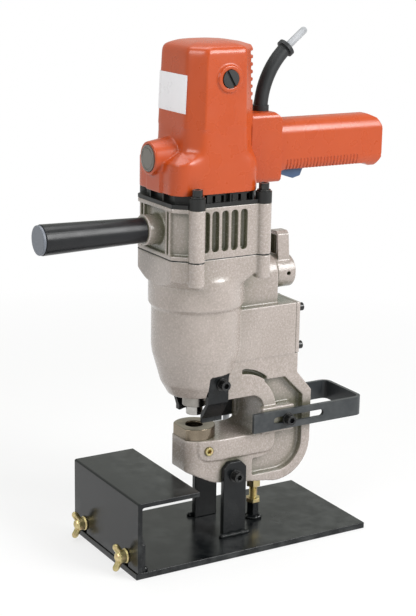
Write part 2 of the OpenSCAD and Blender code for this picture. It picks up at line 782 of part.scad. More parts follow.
module die() color("#8d7f6e") difference() {
  union() {
    intersection() {
      rod_z(die_d / 2, jaw_top, die_top);
      box([nose_x + 1, -die_d, 0], [die_d, die_d, die_top + 1]);
    }
    rod_z(spigot_d / 2, jaw_top - spigot_l + seat, jaw_top + eps);
  }
  rod_z(punch_d / 2 + die_gap, 0, die_top + 1);
  rod_z(punch_d / 2 + 1.2, 0, die_top - 6);
  translate([0, 0, die_top - 0.8])
    cylinder(r1 = punch_d / 2 + die_gap, r2 = punch_d / 2 + die_gap + 1, h = 1);
}
module die_set_screw() color("#b59a4e") difference() {
  union() {
    rod_y(4, -jaw_w / 2 - 0.3, -spigot_d / 2 - 2, set_screw.x, set_screw.y);
    rod_y(2, -spigot_d / 2 - 3, -spigot_d / 2 - 0.1, set_screw.x, set_screw.y);
  }
  translate([set_screw.x, 5 - jaw_w / 2, set_screw.y]) rotate([90, 0, 0]) cylinder(d = 4.6, h = 9, $fn = 6);
}

module punch() color("#8f9092") {
  rod_z(punch_d / 2, punch_tip, nut_z + nut_lip + eps);
  rod_z(head_r - fit, nut_z + nut_lip, nut_z + nut_lip + punch_head_h);
}
module punch_nut() color("#7d766c") difference() {
  rod_z(nut_d / 2, nut_z, nut_top);
  rod_z(punch_d / 2 + 0.1, nut_z - 1, nut_top);
  rod_z(head_r, nut_z + nut_lip, nut_top + 1);
}
module ram() color("#b8babb") difference() {
  union() {
    rod_z(head_r - fit, nut_z + nut_lip + punch_head_h, nut_top + eps);
    rod_z(rod_r, nut_top, piston_z + eps);
    rod_z(bore_d / 2 - fit, piston_z, piston_top);
  }
  difference() {
    rod_z(bore_d / 2, piston_z + 9, piston_z + 15);
    rod_z(bore_d / 2 - 4, piston_z + 8, piston_z + 16);
  }
}
module piston_seal() color("#222222") difference() {
  rod_z(bore_d / 2 - fit, piston_z + 9 + seat, piston_z + 15 - seat);
  rod_z(bore_d / 2 - 4 + fit, piston_z + 8, piston_z + 16);
}
module return_spring() color("#6f7173") {
  low = bore_floor + spring_wire / 2 + seat;
  high = piston_z - spring_wire / 2 - seat;
  path = [for (i = [0 : 8 * spring_turns]) let (a = 45 * i) [
    spring_r * cos(a), spring_r * sin(a), low + (high - low) * i / (8 * spring_turns)
  ]];
  tube(path, spring_wire / 2, 6, [1, 0, 0], [0, 1, 0], [0, 1, 0]);
}
module rod_bush() color("#b08d4f") difference() {
  rod_z(bush_r, body_foot, bore_floor - 0.1);
  rod_z(rod_r + fit, body_foot - 1, bore_floor + 1);
}

// Stripper plate: upright on its seat, with a foot bent in towards the punch.
module stripper(lift) difference() {
  yz(strip_x - strip_w / 2, strip_x + strip_w / 2) polygon([
    [strip_y + 0.02, strip_top], [strip_out, strip_top], [strip_out, throat_top + lift],
    [strip_tip + 3, foot_z + 4.5 + lift], [strip_tip + 3, foot_z + lift], [strip_tip - 3, foot_z + lift],
    [strip_tip - 3, foot_z + 5 + lift], [strip_y + 0.02, throat_top - 2 + lift]
  ]);
  rod_y(screw_d / 2 + 0.2, 0, strip_out + 5, strip_screw_x, strip_screw_z);
}
module right_stripper() color("#333535") difference() {
  mirror([0, 1, 0]) stripper(0);
  rod_z(strip_tip, jaw_top, strip_top);
}
module left_stripper() color("#333535") difference() {
  translate([-strip_ahead, 0, 0]) stripper(strip_lift);
  rod_z(strip_tip, jaw_top, strip_top);
}

// Cap screws of the strippers, the gauge strap and the lugs.
module cap_screws() color("#8c8a80") {
  screw_from_right(strip_screw_x, strip_out, strip_screw_z, screw_d, strip_t + 5);
  mirror([0, 1, 0])
    screw_from_right(strip_screw_x - strip_ahead, strip_out, strip_screw_z, screw_d, strip_t + 5);
  both_sides() {
    screw_from_right(gauge_screw_x, gauge_out + 0.1, gauge_z, screw_d, gauge_t + pad_y - jaw_w / 2 + 10);
    screw_from_right(lug_x, lug_out, lug_screw_z, screw_d, lug_t + 11);
  }
}

// U-shaped strap that stops the workpiece, with a slot in each arm.
module gauge_strap() color("#2f3131") difference() {
  xy(gauge_z - gauge_h / 2, gauge_z + gauge_h / 2) intersection() {
    difference() {
      round_rect([0, -gauge_out], [gauge_x, gauge_out], 9);
      round_rect([-9, -gauge_in], [gauge_x - gauge_t, gauge_in], 9 - gauge_t);
    }
    rect([gauge_front, -gauge_out - 1], [gauge_x + 1, gauge_out + 1]);
  }
  xz(-gauge_out - 1, gauge_out + 1) translate([0, gauge_z]) {
    rect([slot_front + gauge_slot / 2, -gauge_slot / 2], [slot_rear - gauge_slot / 2, gauge_slot / 2]);
    for (x = [slot_front + gauge_slot / 2, slot_rear - gauge_slot / 2])
      translate([x, 0]) circle(d = gauge_slot);
  }
}

module rear_cover() color("#a59b91") difference() {
  box([block_x + 0.02, -block_w / 2, block_z], [back_x, block_w / 2, block_top]);
  both_sides() for (z = cover_screw_z) rod_x(2.7, block_x - 1, back_x + 1, cover_screw_y, z);
}
module rear_cover_screws() color("#8c8a80")
  both_sides() for (z = cover_screw_z)
    translate([back_x, cover_screw_y, z]) rotate([0, 90, 0]) cap_screw(5, cover_t + 10, false);
module oil_bladder() color("#1f1f1f")
  yz(block_x - 39, block_x - 0.5) round_rect(
    [-block_w / 2 + 7.4, block_z + 12.4], [block_w / 2 - 7.4, block_top - 12.4], 6);

module release_lever() color("#a59b91") difference() {
  union() {
    rod_x(hub_d / 2, boss_x + 1, boss_x + 21, 0, release_z);
    yz(boss_x + 4, boss_x + 17) polygon([
      [-11, release_z + 6], [11, release_z + 6], [8, release_z + lever_l - 3],
      [5, release_z + lever_l], [-5, release_z + lever_l], [-8, release_z + lever_l - 3]
    ]);
  }
  rod_x(spindle_r + fit, boss_x - 1, boss_x + 18, 0, release_z);
  box([boss_x + 3, -5.5, release_z + hub_d / 2 + 2], [boss_x + 10, 5.5, release_z + lever_l - 4]);
  rod_y(2, -hub_d, 0, boss_x + 13, release_z);
}
module release_spindle() color("#b8babb") {
  rod_x(spindle_r, boss_x - 26, boss_x + 17.8, 0, release_z);
  translate([boss_x - 30, 0, release_z]) rotate([0, 90, 0]) cylinder(r1 = 1, r2 = 4, h = 4 + eps);
}

module case_gasket() color("#1f1f1f") xy(deck_z + 0.02, case_z - 0.02) difference() {
  union() {
    case_plan();
    for (c = columns) translate(c) circle(d = column_d);
  }
  circle(pump_r + 1);
  for (c = columns) translate(c) circle(d = bolt_d + 1);
}

// Side view of a slot between two fins.
module slot_side(x, w) {
  rect([x, case_z + 6 + w / 2], [x + w, case_top - 4 - w / 2]);
  for (z = [case_z + 6 + w / 2, case_top - 4 - w / 2]) translate([x + w / 2, z]) circle(d = w);
}
// Finned case round the pump, with a column for each housing bolt.
module pump_case() color("#a59b91") difference() {
  union() {
    xy(case_z, case_top) case_plan(4);
    for (z = [case_z, case_top - 4]) xy(z, z + 4) case_plan();
    for (c = columns) rod_z(column_d / 2, case_z, case_top, c.x, c.y);
    box([fin_x - 2, -case_w / 2, case_z], [case_rear - 6, case_w / 2, case_top]);
    for (y = [-27, -21, 21, 27]) box([-case_front, y - 1.25, case_z], [0, y + 1.25, case_top]);
    rod_x(side_d / 2 + 1, -side_boss, 0, 0, side_z);
  }
  xy(case_z - 1, case_top + 1) case_plan(4 + case_wall);
  both_sides() for (k = [0 : 4])
    xz(case_w / 2 - fin_deep, case_w) slot_side(fin_x + k * fin_pitch, fin_pitch - fin_t);
  rod_x(stud_r + fit, -side_boss - 1, 0, 0, side_z);
  for (c = columns) rod_z(bolt_d / 2 + 0.3, case_z - 1, case_top + 1, c.x, c.y);
}

module pump_block() color("#9a9c9d") difference() {
  union() {
    rod_z(bore_d / 2 - fit, piston_top + 1, deck_z + eps);
    rod_z(pump_r, deck_z, deck_z + pump_h);
  }
  rod_z(block_in_r, deck_z + 5, deck_z + pump_h + 1);
  rod_z(crank_r + fit, deck_z - 10, deck_z + pump_h, crank_x);
  rod_y(plunger_r + fit, -pump_r - 1, pump_r + 1, crank_x, cam_z + cam_h / 2);
}
module pump_plungers() color("#b8babb") both_sides()
  rod_y(plunger_r, cam_r + cam_throw + 0.3, pump_r - 5, crank_x, cam_z + cam_h / 2);
module eccentric_shaft() color("#b8babb") translate([crank_x, 0, 0]) {
  rod_z(crank_r, deck_z - 9, case_top - 0.6);
  rod_z(cam_r, cam_z, cam_z + cam_h, 0, cam_throw);
}
module drive_gear() color("#8f9092") translate([crank_x, 0, gear_z]) difference() {
  rotate(180 / gear_n) linear_extrude(gear_h)
    polygon(gear_outline(gear_n, gear_m, 25, 0.85, 1.25, 0.3));
  translate([0, 0, -1]) cylinder(r = crank_r + fit / 5, h = gear_h + 2);
}

// Ring between pump case and motor: a rim, a drawn-in wall with air slots, bolt bosses.
module ring_plan() {
  difference() {
    case_plan(6);
    case_plan(9);
  }
  both_halves() for (k = [0 : 2])
    rect([fin_x + 5 + k * 24, case_w / 2 - 8], [fin_x + 6.5 + k * 24, case_w / 2 - 2]);
  for (y = [-12, 12]) rect([2 - case_front, y - 1], [8 - case_front, y + 1]);
  for (c = columns) translate(c) circle(d = column_d);
}
module slot_plan() both_halves() for (k = [0 : 6])
  rect([fin_x - 5 + k * 9, case_w / 2 - 10], [fin_x - 2 + k * 9, case_w / 2 - 5]);
module adapter_ring() color("#232425") difference() {
  union() {
    xy(case_top, case_top + plate_t) {
      case_plan();
      for (c = columns) translate(c) circle(d = column_d);
    }
    xy(case_top + plate_t, ring_top - 2) difference() {
      ring_plan();
      slot_plan();
    }
    xy(ring_top - 2, ring_top - 0.5) ring_plan();
    rod_z(bearing_r + 2.5, case_top + 1, ring_top - 0.5, motor_x);
    rod_z(crank_r + 4, case_top - 5, case_top + 1, crank_x);
  }
  rod_z(bearing_r + fit, case_top + plate_t, ring_top + 1, motor_x);
  rod_z(shaft_r + 2, case_top - 6, ring_top + 1, motor_x);
  rod_z(crank_r + fit, case_top - 6, case_top - 0.3, crank_x);
  for (c = columns) rod_z(bolt_d / 2 + 0.3, case_top - 1, ring_top + 1, c.x, c.y);
}
module housing_bolts() color("#6f7173") for (c = columns)
  translate([c.x, c.y, ring_top - 0.5]) cap_screw(bolt_d, ring_top - deck_z + 14);

// One level of the motor housing: an octagon in plan, drawn in by i.
module level(z, x0, x1, h, c, i = 0)
  translate([0, 0, z]) linear_extrude(0.02) polygon(octagon(x0 + i, x1 - i, h - i, c - i * 0.4, c * 0.75 - i * 0.4));
module barrel(i) {
  h = housing_w / 2;
  hull() {
    level(ring_top, motor_x - h - 3, skirt_rear, h + 3, 18, i);
    level(housing_top - 8, motor_x + 1.5 - h, skirt_rear - 0.4, h, 18, i);
    level(housing_top - 4.5 - i / 2, motor_x + 3.5 - h, skirt_rear - 2, h - 2, 17, i);
    level(housing_top - 1.5 - i, motor_x + 12 - h, skirt_rear - 11, h - 10, 14, i);
    level(housing_top - 0.02 - i, motor_x + 24 - h, skirt_rear - 23, h - 22, 8, i);
  }
}
module skirt(i) hull() {
  translate([0, 0, ring_top]) linear_extrude(skirt_h - i)
    round_rect([i - case_front, i - skirt_w / 2], [skirt_rear - i, skirt_w / 2 - i], 14 - i, $fn = 32);
  level(ring_top + skirt_h + 9 - i, motor_x - housing_w / 2 - 3, skirt_rear, housing_w / 2 + 1, 18, i);
}
module motor_housing() color("#ce5c32") difference() {
  union() {
    difference() {
      union() {
        barrel(0);
        skirt(0);
        box([-case_front - 2, -13, ring_top], [0, 13, disc_z]);
        translate([disc_x, 0, disc_z]) rotate([0, 90, 0])
          cylinder(r1 = plug_d / 2 + 3, r2 = plug_d / 2 + 8, h = 30);
        both_sides() rod_y(cap_d / 2 + 4, housing_w / 2 - 4, housing_w / 2 + 3, motor_x, brush_z);
      }
      translate([0, 0, -0.1]) barrel(shell_t);
      translate([0, 0, -0.1]) skirt(shell_t);
    }
    // Seat of the upper bearing under the crown.
    rod_z(crown_r + 3, housing_top - 22, housing_top - 2, motor_x);
  }
  rod_z(crown_r + fit, housing_top - 23, housing_top - 6, motor_x);
  both_sides() rod_y(cap_d / 2 + 0.1, housing_w / 2 - 6, housing_w / 2 + 5, motor_x, brush_z);
  rod_x(plug_d / 2 + 0.1, disc_x - 1, disc_x + 3, 0, disc_z);
  // Way of the leads into the handle, and air slots in the rear face.
  rod_x(6, skirt_rear - 8, skirt_rear + 1, 0, ring_top + 40);
  for (k = [2 : 8])
    box([skirt_rear - 8, -24, housing_top - k * vent_pitch],
        [skirt_rear + 1, 24, housing_top - (k - 0.5) * vent_pitch]);
}
module front_plug() color("#7b7d7c") difference() {
  rod_x(plug_d / 2, disc_x - 1, disc_x + 2.9, 0, disc_z);
  difference() {
    rod_x(plug_d / 2 - 1.5, disc_x - 2, disc_x - 0.2, 0, disc_z);
    rod_x(plug_d / 2 - 3, disc_x - 3, disc_x + 1, 0, disc_z);
  }
}
module brush_caps() color("#6d6f70") both_sides() difference() {
  union() {
    rod_y(cap_d / 2, housing_w / 2 - 5, housing_w / 2 + 3.8, motor_x, brush_z);
    rod_y(3.5, 29.2, housing_w / 2 - 4, motor_x, brush_z);
  }
  translate([motor_x, 0, brush_z]) rotate([0, 60, 0])
    box([-cap_d, housing_w / 2 + 2, -1.2], [cap_d, housing_w, 1.2]);
}
module carbon_brushes() color("#2a2a2a") both_sides()
  box([motor_x - 3, commutator_r + 0.2, brush_z - 4], [motor_x + 3, 29, brush_z + 4]);
module stator() color("#7a6f63") translate([motor_x, 0, 0]) difference() {
  union() {
    rod_z(stator_r, stator_z, stator_z + stator_h);
    rod_z(stator_r - 5, stator_z - 6, stator_z + stator_h + 6);
  }
  rod_z(stator_in, stator_z - 7, stator_z + stator_h + 7);
}
module armature() color("#8a8c8d") translate([motor_x, 0, 0]) {
  rod_z(shaft_r, gear_z + gear_h, housing_top - 9);
  rod_z(core_r, stator_z + 2, stator_z + stator_h - 2);
  translate([0, 0, gear_z - 1]) linear_extrude(gear_h + 2)
    polygon(gear_outline(pinion_n, gear_m, 25, 0.85, 1.25, 0.3));
  difference() {
    rod_z(commutator_r, brush_z - 9, brush_z + 8);
    rod_z(shaft_r + fit, brush_z - 10, brush_z + 9);
  }
}
module cooling_fan() color("#3c3e40") translate([motor_x, 0, ring_top + 4]) difference() {
  union() {
    cylinder(r = 29, h = 2);
    cylinder(r = 8, h = 10);
    for (a = [0 : 30 : 330]) rotate(a) box([10, -0.8, 1], [28, 0.8, 10]);
  }
  translate([0, 0, -1]) cylinder(r = shaft_r + fit / 5, h = 12);
}
module rotor_bearings() color("#b8babb") translate([motor_x, 0, 0]) {
  difference() {
    rod_z(bearing_r, case_top + plate_t + 0.02, case_top + plate_t + bearing_h);
    rod_z(shaft_r + fit, case_top, ring_top + 1);
  }
  difference() {
    rod_z(crown_r, housing_top - 15, housing_top - 9);
    rod_z(shaft_r + fit, housing_top - 20, housing_top);
  }
}

// Side view of the handle, drawn in by i.
module block_side(i = 0) polygon([
  [block_x0 + i, block_low + i], [grip_x + i, block_low + i], [grip_x + i, block_high - 6 - i],
  [grip_x - 6, block_high - i], [block_x0 + i, block_high - i]
]);
module grip_side(i = 0) polygon([
  [grip_x - 1 + i, grip_top - i], [grip_end - 12 - i, grip_top - i], [grip_end - 4 - i, grip_top - 4 - i],
  [grip_end - i, grip_top - 12], [grip_end - i, grip_low + 6 + i], [grip_end - 4 - i, grip_low - 2 + i],
  [grip_end - 11 - i, grip_low - 2 + i], [grip_end - 17 - i, grip_low + 1 + i],
  [grip_x + 8, grip_low + 1 + i], [grip_x - 1 + i, grip_low - 3 + i]
]);
module grip_end_view(i = 0)
  round_rect([i - grip_w / 2, grip_low - 4 + i], [grip_w / 2 - i, grip_top - i], grip_w / 2 - 3 - i);
module handle() difference() {
  union() {
    intersection() {
      xz(-block_wide / 2, block_wide / 2) block_side();
      yz(block_x0, grip_x) round_rect([-block_wide / 2, block_low], [block_wide / 2, block_high], 5);
    }
    intersection() {
      xz(-grip_w / 2, grip_w / 2) grip_side();
      yz(grip_x - 1, grip_end) grip_end_view();
    }
  }
  // Inside of block and grip.
  intersection() {
    xz(wall - block_wide / 2, block_wide / 2 - wall) block_side(wall);
    box([block_x0 + wall, -block_wide, 0], [grip_x - wall, block_wide, housing_top]);
  }
  intersection() {
    xz(wall - grip_w / 2, grip_w / 2 - wall) grip_side(wall);
    yz(grip_x - 2 * wall, grip_end - wall) grip_end_view(wall);
  }
  // Finger ribs: grooves round the lower half of the grip.
  for (k = [0 : rib_n - 1]) {
    x = grip_x + 8 + k * rib_pitch;
    difference() {
      box([x, -grip_w, grip_low - 6], [x + rib_pitch * 0.4, grip_w, grip_low + 11]);
      yz(x - 1, x + rib_pitch) grip_end_view(1);
      box([x - 1, -grip_w / 2 + 6, grip_low - 8], [x + rib_pitch, grip_w / 2 - 6, grip_low + 14]);
    }
  }
  // Trigger opening, pin, cord and leads.
  box([pivot.x - 6, -trigger_w / 2 - 0.5, grip_low - 8], [open_x, trigger_w / 2 + 0.5, grip_low + 8]);
  rod_x(6, block_x0 - 1, block_x0 + 5, 0, ring_top + 40);
  rod_z(cord_d / 2 + 1, block_high - 6, block_high + 1, guard_x);
}
module handle_half(s) {
  low = s > 0 ? 0.02 : -block_wide;
  high = s > 0 ? block_wide : -0.02;
  difference() {
    union() {
      intersection() {
        handle();
        box([0, low, 0], [grip_end + 1, high, housing_top]);
      }
      for (p = handle_screw_at)
        rod_y(4.5, s > 0 ? 0.02 : 1 - p.z, s > 0 ? p.z - 1 : -0.02, p.x, p.y);
    }
    for (p = handle_screw_at) {
      rod_y(2 + fit, -p.z + 5, p.z + 1, p.x, p.y);
      rod_y(3.7, p.z - 3, p.z + 1, p.x, p.y);
    }
  }
}
module handle_right_half() color("#ce5c32") handle_half(-1);
module handle_left_half() color("#ce5c32") handle_half(1);
module handle_screws() color("#6f7173") for (p = handle_screw_at) {
  rod_y(2, -p.z + 6, p.z - 3, p.x, p.y);
  difference() {
    rod_y(3.5, p.z - 3, p.z - 0.6, p.x, p.y);
    box([p.x - 4, p.z - 1.6, p.y - 0.5], [p.x + 4, p.z, p.y + 0.5]);
  }
}
module trigger() color("#41597a") difference() {
  xz(-trigger_w / 2, trigger_w / 2) polygon([
    [pivot.x - 5, pivot.y + 4], [pivot.x - 5, pivot.y - 14], [pivot.x + 2, pivot.y - 18],
    [pivot.x + 14, pivot.y - 22], [pivot.x + 22, pivot.y - 20], [pivot.x + 25.5, pivot.y - 12],
    [pivot.x + 25, pivot.y - 3], [pivot.x + 8, pivot.y + 4]
  ]);
  rod_y(pin_r + fit, -trigger_w, trigger_w, pivot.x, pivot.y);
}
module trigger_pin() color("#b8babb")
  rod_y(pin_r, 0.1 + wall - grip_w / 2, grip_w / 2 - wall - 0.1, pivot.x, pivot.y);
module switch_body() color("#2b2b2b") {
  w = grip_w / 2 - wall - 0.4;
  box([pivot.x + 4, -w, switch_z], [pivot.x + 50, w, switch_z + 12]);
}

// Rubber guard: an arc of a torus with a collar at its foot and a rim at its end.
module cord_guard() color("#242424") {
  translate([guard_x + guard_r, 0, block_high]) rotate([90, 0, 0])
    rotate([0, 0, 180 - guard_turn]) rotate_extrude(angle = guard_turn)
      translate([guard_r, 0]) circle(d = guard_d);
  rod_z(guard_d / 2 + 1.2, block_high + 0.02, block_high + 5, guard_x);
  rod_z(cord_d / 2 + 0.8, block_high - 5, block_high + 1, guard_x);
  translate(guard_tip) rotate([0, guard_turn, 0]) translate([0, 0, -3.5])
    cylinder(d = guard_d + 4.5, h = 3.5);
}

module side_grip_stud() color("#8f9092")
  rod_x(stud_r, -side_end + 3, -max(case_front - 10, pump_r + 2), 0, side_z);
module side_grip_sleeve() color("#2a2b2b") difference() {
  translate([-side_end, 0, side_z]) rotate([0, 90, 0])
    cylinder(r1 = side_d / 2 + 1, r2 = side_d / 2 - 1.5, h = side_end - side_boss - 0.1);
  rod_x(stud_r + fit, -side_end - 1, 0, 0, side_z);
}
module side_grip_cap() color("#7b7d7c") {
  rod_x(side_d / 2 + 0.4, -side_end - 3, -side_end - 0.02, 0, side_z);
  rod_x(stud_r - 0.2, -side_end - 1, 2.8 - side_end, 0, side_z);
}

module power_cord() color("#77797a")
  tube(cord_points, cord_d / 2, 8, [0, 1, 0], guard_dir, [1, 0, 0]);
module cord_coil() color("#77797a")
  tube(coil_points, cord_d / 2, 6, [0, 1, 0], [1, 0, 0], [0, 1, 0]);

// Two-pin plug that lies on the bench beside the coil.
module plug() color("#2a2b2b") translate([coil_end.x, plug_y, coil_end.z]) rotate([0, 0, -90]) {
  rod_x(cord_d / 2 + 1.5, -16, -0.02);
  rod_x(plug_r, -40, -15);
  for (y = [-6.35, 6.35]) box([-55, y - 0.75, -3], [-39, y + 0.75, 3]);
}

base_plate();
right_lug();
left_lug();
front_upstand();
jack_post();
weld_beads();
jack_bolt();
jack_lock_nut();
work_rest();
right_wing_bolt();
left_wing_bolt();
frame_casting();
die();
die_set_screw();
punch();
punch_nut();
ram();
piston_seal();
return_spring();
rod_bush();
right_stripper();
left_stripper();
cap_screws();
gauge_strap();
rear_cover();
rear_cover_screws();
oil_bladder();
release_lever();
release_spindle();
pump_case();
case_gasket();
pump_block();
pump_plungers();
eccentric_shaft();
drive_gear();
adapter_ring();
housing_bolts();
motor_housing();
stator();
armature();
cooling_fan();
rotor_bearings();
carbon_brushes();
brush_caps();
front_plug();
handle_right_half();
handle_left_half();
handle_screws();
trigger();
trigger_pin();
switch_body();
cord_guard();
side_grip_stud();
side_grip_sleeve();
side_grip_cap();
power_cord();
cord_coil();
plug();
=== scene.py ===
import json
import math

import bmesh
import bpy
from mathutils import Matrix, Vector
from mathutils.bvhtree import BVHTree


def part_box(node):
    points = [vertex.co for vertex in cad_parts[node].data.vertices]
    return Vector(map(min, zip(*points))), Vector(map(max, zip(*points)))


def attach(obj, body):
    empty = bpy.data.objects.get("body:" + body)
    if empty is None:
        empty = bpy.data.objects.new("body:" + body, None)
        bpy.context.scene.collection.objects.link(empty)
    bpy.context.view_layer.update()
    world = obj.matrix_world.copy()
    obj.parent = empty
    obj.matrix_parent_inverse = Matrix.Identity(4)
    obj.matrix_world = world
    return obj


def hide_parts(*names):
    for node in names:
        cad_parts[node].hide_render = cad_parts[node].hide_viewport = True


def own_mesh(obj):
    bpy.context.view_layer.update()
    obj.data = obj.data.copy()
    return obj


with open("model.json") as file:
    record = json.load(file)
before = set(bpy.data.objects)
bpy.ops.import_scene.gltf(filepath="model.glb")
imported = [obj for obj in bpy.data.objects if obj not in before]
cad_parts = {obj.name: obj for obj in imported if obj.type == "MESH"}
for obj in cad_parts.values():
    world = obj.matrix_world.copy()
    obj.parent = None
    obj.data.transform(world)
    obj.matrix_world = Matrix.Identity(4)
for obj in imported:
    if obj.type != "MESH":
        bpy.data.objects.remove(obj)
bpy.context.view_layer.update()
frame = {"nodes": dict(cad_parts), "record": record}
nodes = frame["nodes"]
bodies = frame["record"]["behaviour"]["bodies"]
bodyOf = {name: body for body, names in bodies.items() for name in names}
slotOf = {s["node"]: s["material_slot"] for s in frame["record"]["subparts"]}
scene = bpy.context.scene
mm = 0.001
print("frame loaded,", len(nodes), "nodes")

# Camera, from the lines of the stand in the photograph: angles in degrees, focal length in pixels.
viewpoint = {"azimuth": -30.805, "elevation": 14.805, "roll": 1.006, "distance": 1400.45 * mm,
             "aside": 11.378 * mm, "height": 229.454 * mm, "focal": 1495.83, "longSide": 616, "sensor": 36,
             "clip": (0.05, 50)}


def placeCamera(v):
    a, e, r = (math.radians(v[k]) for k in ("azimuth", "elevation", "roll"))
    back = Vector((math.sin(a) * math.cos(e), -math.cos(a) * math.cos(e), math.sin(e)))
    right = Vector((math.cos(a), math.sin(a), 0))
    up = back.cross(right)
    eye = right * v["aside"] + Vector((0, 0, v["height"])) + back * v["distance"]
    leanRight = right * math.cos(r) + up * math.sin(r)
    leanUp = up * math.cos(r) - right * math.sin(r)
    data = bpy.data.cameras.new("camera")
    data.sensor_width = v["sensor"]
    data.lens = v["focal"] * v["sensor"] / v["longSide"]
    data.clip_start, data.clip_end = v["clip"]
    camera = bpy.data.objects.new("camera", data)
    scene.collection.objects.link(camera)
    turn = Matrix((leanRight, leanUp, back)).transposed().to_4x4()
    camera.matrix_world = Matrix.Translation(eye) @ turn
    scene.camera = camera


placeCamera(viewpoint)


# Shader helpers: a socket that can stand in a sum, a tree of nodes, and a finish.
def plugIn(tree, socket, value):
    if isinstance(value, Wire):
        tree.links.new(value.socket, socket)
    else:
        socket.default_value = value


class Wire:
    def __init__(self, tree, socket):
        self.tree, self.socket = tree, socket

    def maths(self, operation, first, second):
        made = self.tree.nodes.new("ShaderNodeMath")
        made.operation = operation
        for socket, value in zip(made.inputs, (first, second)):
            plugIn(self.tree, socket, value)
        return Wire(self.tree, made.outputs[0])

    def __add__(self, other):
        return self.maths("ADD", self, other)

    def __sub__(self, other):
        return self.maths("SUBTRACT", self, other)

    def __rsub__(self, other):
        return self.maths("SUBTRACT", other, self)

    def __mul__(self, other):
        return self.maths("MULTIPLY", self, other)

    __radd__, __rmul__ = __add__, __mul__


class Graph:
    def __init__(self, tree):
        self.tree = tree

    # any node: its type, its settings, then the values or links of its sockets
    def node(self, kind, settings=None, inputs=None, out=0):
        made = self.tree.nodes.new(kind)
        for key, value in (settings or {}).items():
            setattr(made, key, value)
        for key, value in (inputs or {}).items():
            plugIn(self.tree, made.inputs[key], value)
        return Wire(self.tree, made.outputs[out])

    def blend(self, share, first, second):
        return self.node("ShaderNodeMix", {"data_type": "RGBA"}, {0: share, 6: first, 7: second}, out=2)

    # what the camera meets: straight, by a share in a shiny face, or through a clear one
    def seen(self, shine):
        straight, shiny, clear = (self.node("ShaderNodeLightPath", out=f"Is {kind} Ray")
                                  for kind in ("Camera", "Glossy", "Transmission"))
        return straight + shiny * shine + clear


class Finish(Graph):
    def __init__(self, name, fixed):
        self.material = bpy.data.materials.new(name)
        self.material.use_nodes = True
        super().__init__(self.material.node_tree)
        self.shader = self.tree.nodes["Principled BSDF"]
        self.place = self.node("ShaderNodeTexCoord", out="Object")
        self.feed(fixed)

    def feed(self, values):
        for key, value in values.items():
            plugIn(self.tree, self.shader.inputs[key], value)

    def stretched(self, scale):
        return self.node("ShaderNodeMapping", inputs={"Vector": self.place, "Scale": scale})

    def noise(self, scale, detail=3, roughness=0.5, place=None):
        return self.node("ShaderNodeTexNoise", inputs={"Vector": place or self.place, "Scale": scale,
                                                       "Detail": detail, "Roughness": roughness})

    def ramp(self, value, low, high, dark=0, light=1):
        return self.node("ShaderNodeMapRange", {"clamp": True},
                         {"Value": value, "From Min": low, "From Max": high, "To Min": dark, "To Max": light})

    def bump(self, height, strength, depth):
        return self.node("ShaderNodeBump", inputs={"Height": height, "Strength": strength, "Distance": depth})

    # painted shade: a share that grows where ambient occlusion finds surfaces close by, in creases and
    # recesses
    def paintedShadeMask(self, reach, low, high):
        openness = self.node("ShaderNodeAmbientOcclusion", {"samples": 8}, {"Distance": reach}, out="AO")
        return 1 - self.ramp(openness, low, high)

    def edges(self, low, high):
        return self.ramp(self.node("ShaderNodeNewGeometry", out="Pointiness"), low, high)


# a colour read from 0 to 255, as the shader's linear values
def tint(r, g, b):
    shares = [c / 255 for c in (r, g, b)]
    return (*(c / 12.92 if c < 0.0405 else ((c + 0.055) / 1.055) ** 2.4 for c in shares), 1)


# Finishes, one for each material slot, with a few of their own. A pattern's number is its scale per metre.
def makeHammertone():
    look = {"paint": tint(168, 156, 150), "pale": tint(204, 193, 189), "dip": tint(154, 144, 136),
            "paintedShade": tint(96, 97, 77), "grain": 520, "fleck": 1100, "cloud": 30, "reach": 28 * mm,
            "shade": 0.95, "rub": 0.4, "rough": (0.16, 0.3), "bump": 0.55, "depth": 0.7 * mm}
    f = Finish("hammertone", {"Specular IOR Level": 0.7, "Coat Weight": 0.3, "Coat Roughness": 0.14})
    grain = f.noise(look["grain"], 2, 0.55)
    fleck = f.noise(look["fleck"], 1)
    cloud = f.noise(look["cloud"])
    colour = f.blend(f.ramp(grain, 0.36, 0.6), look["dip"], look["paint"])
    colour = f.blend(f.ramp(fleck, 0.6, 0.74, 0, 0.5), colour, look["pale"])
    colour = f.blend(f.ramp(cloud, 0.4, 0.75, 0, 0.2), colour, look["pale"])
    # painted shade: recesses darkened towards an olive tint by ambient occlusion
    colour = f.blend(f.paintedShadeMask(look["reach"], 0.4, 0.95) * look["shade"], colour, look["paintedShade"])
    colour = f.blend(f.edges(0.515, 0.57) * look["rub"], colour, look["pale"])
    f.feed({"Base Color": colour, "Roughness": f.ramp(grain, 0.3, 0.7, *look["rough"]),
            "Normal": f.bump(grain * 0.75 + fleck * 0.25, look["bump"], look["depth"])})
    return f.material


def makeOrangeShell():
    look = {"shell": tint(182, 71, 20), "deep": tint(178, 67, 18), "rubbed": tint(206, 114, 70), "cloud": 14,
            "peel": 420, "scuff": 55, "rub": 0.35, "rough": (0.24, 0.34), "bump": 0.05, "depth": 0.3 * mm}
    f = Finish("orange_shell", {"Specular IOR Level": 0.6})
    cloud = f.noise(look["cloud"])
    peel = f.noise(look["peel"], 2)
    scuff = f.noise(look["scuff"])
    colour = f.blend(f.ramp(cloud, 0.35, 0.65), look["deep"], look["shell"])
    colour = f.blend(f.edges(0.52, 0.6) * f.ramp(scuff, 0.45, 0.65) * look["rub"], colour, look["rubbed"])
    f.feed({"Base Color": colour, "Roughness": f.ramp(scuff, 0.3, 0.75, *look["rough"]),
            "Normal": f.bump(peel, look["bump"], look["depth"])})
    return f.material


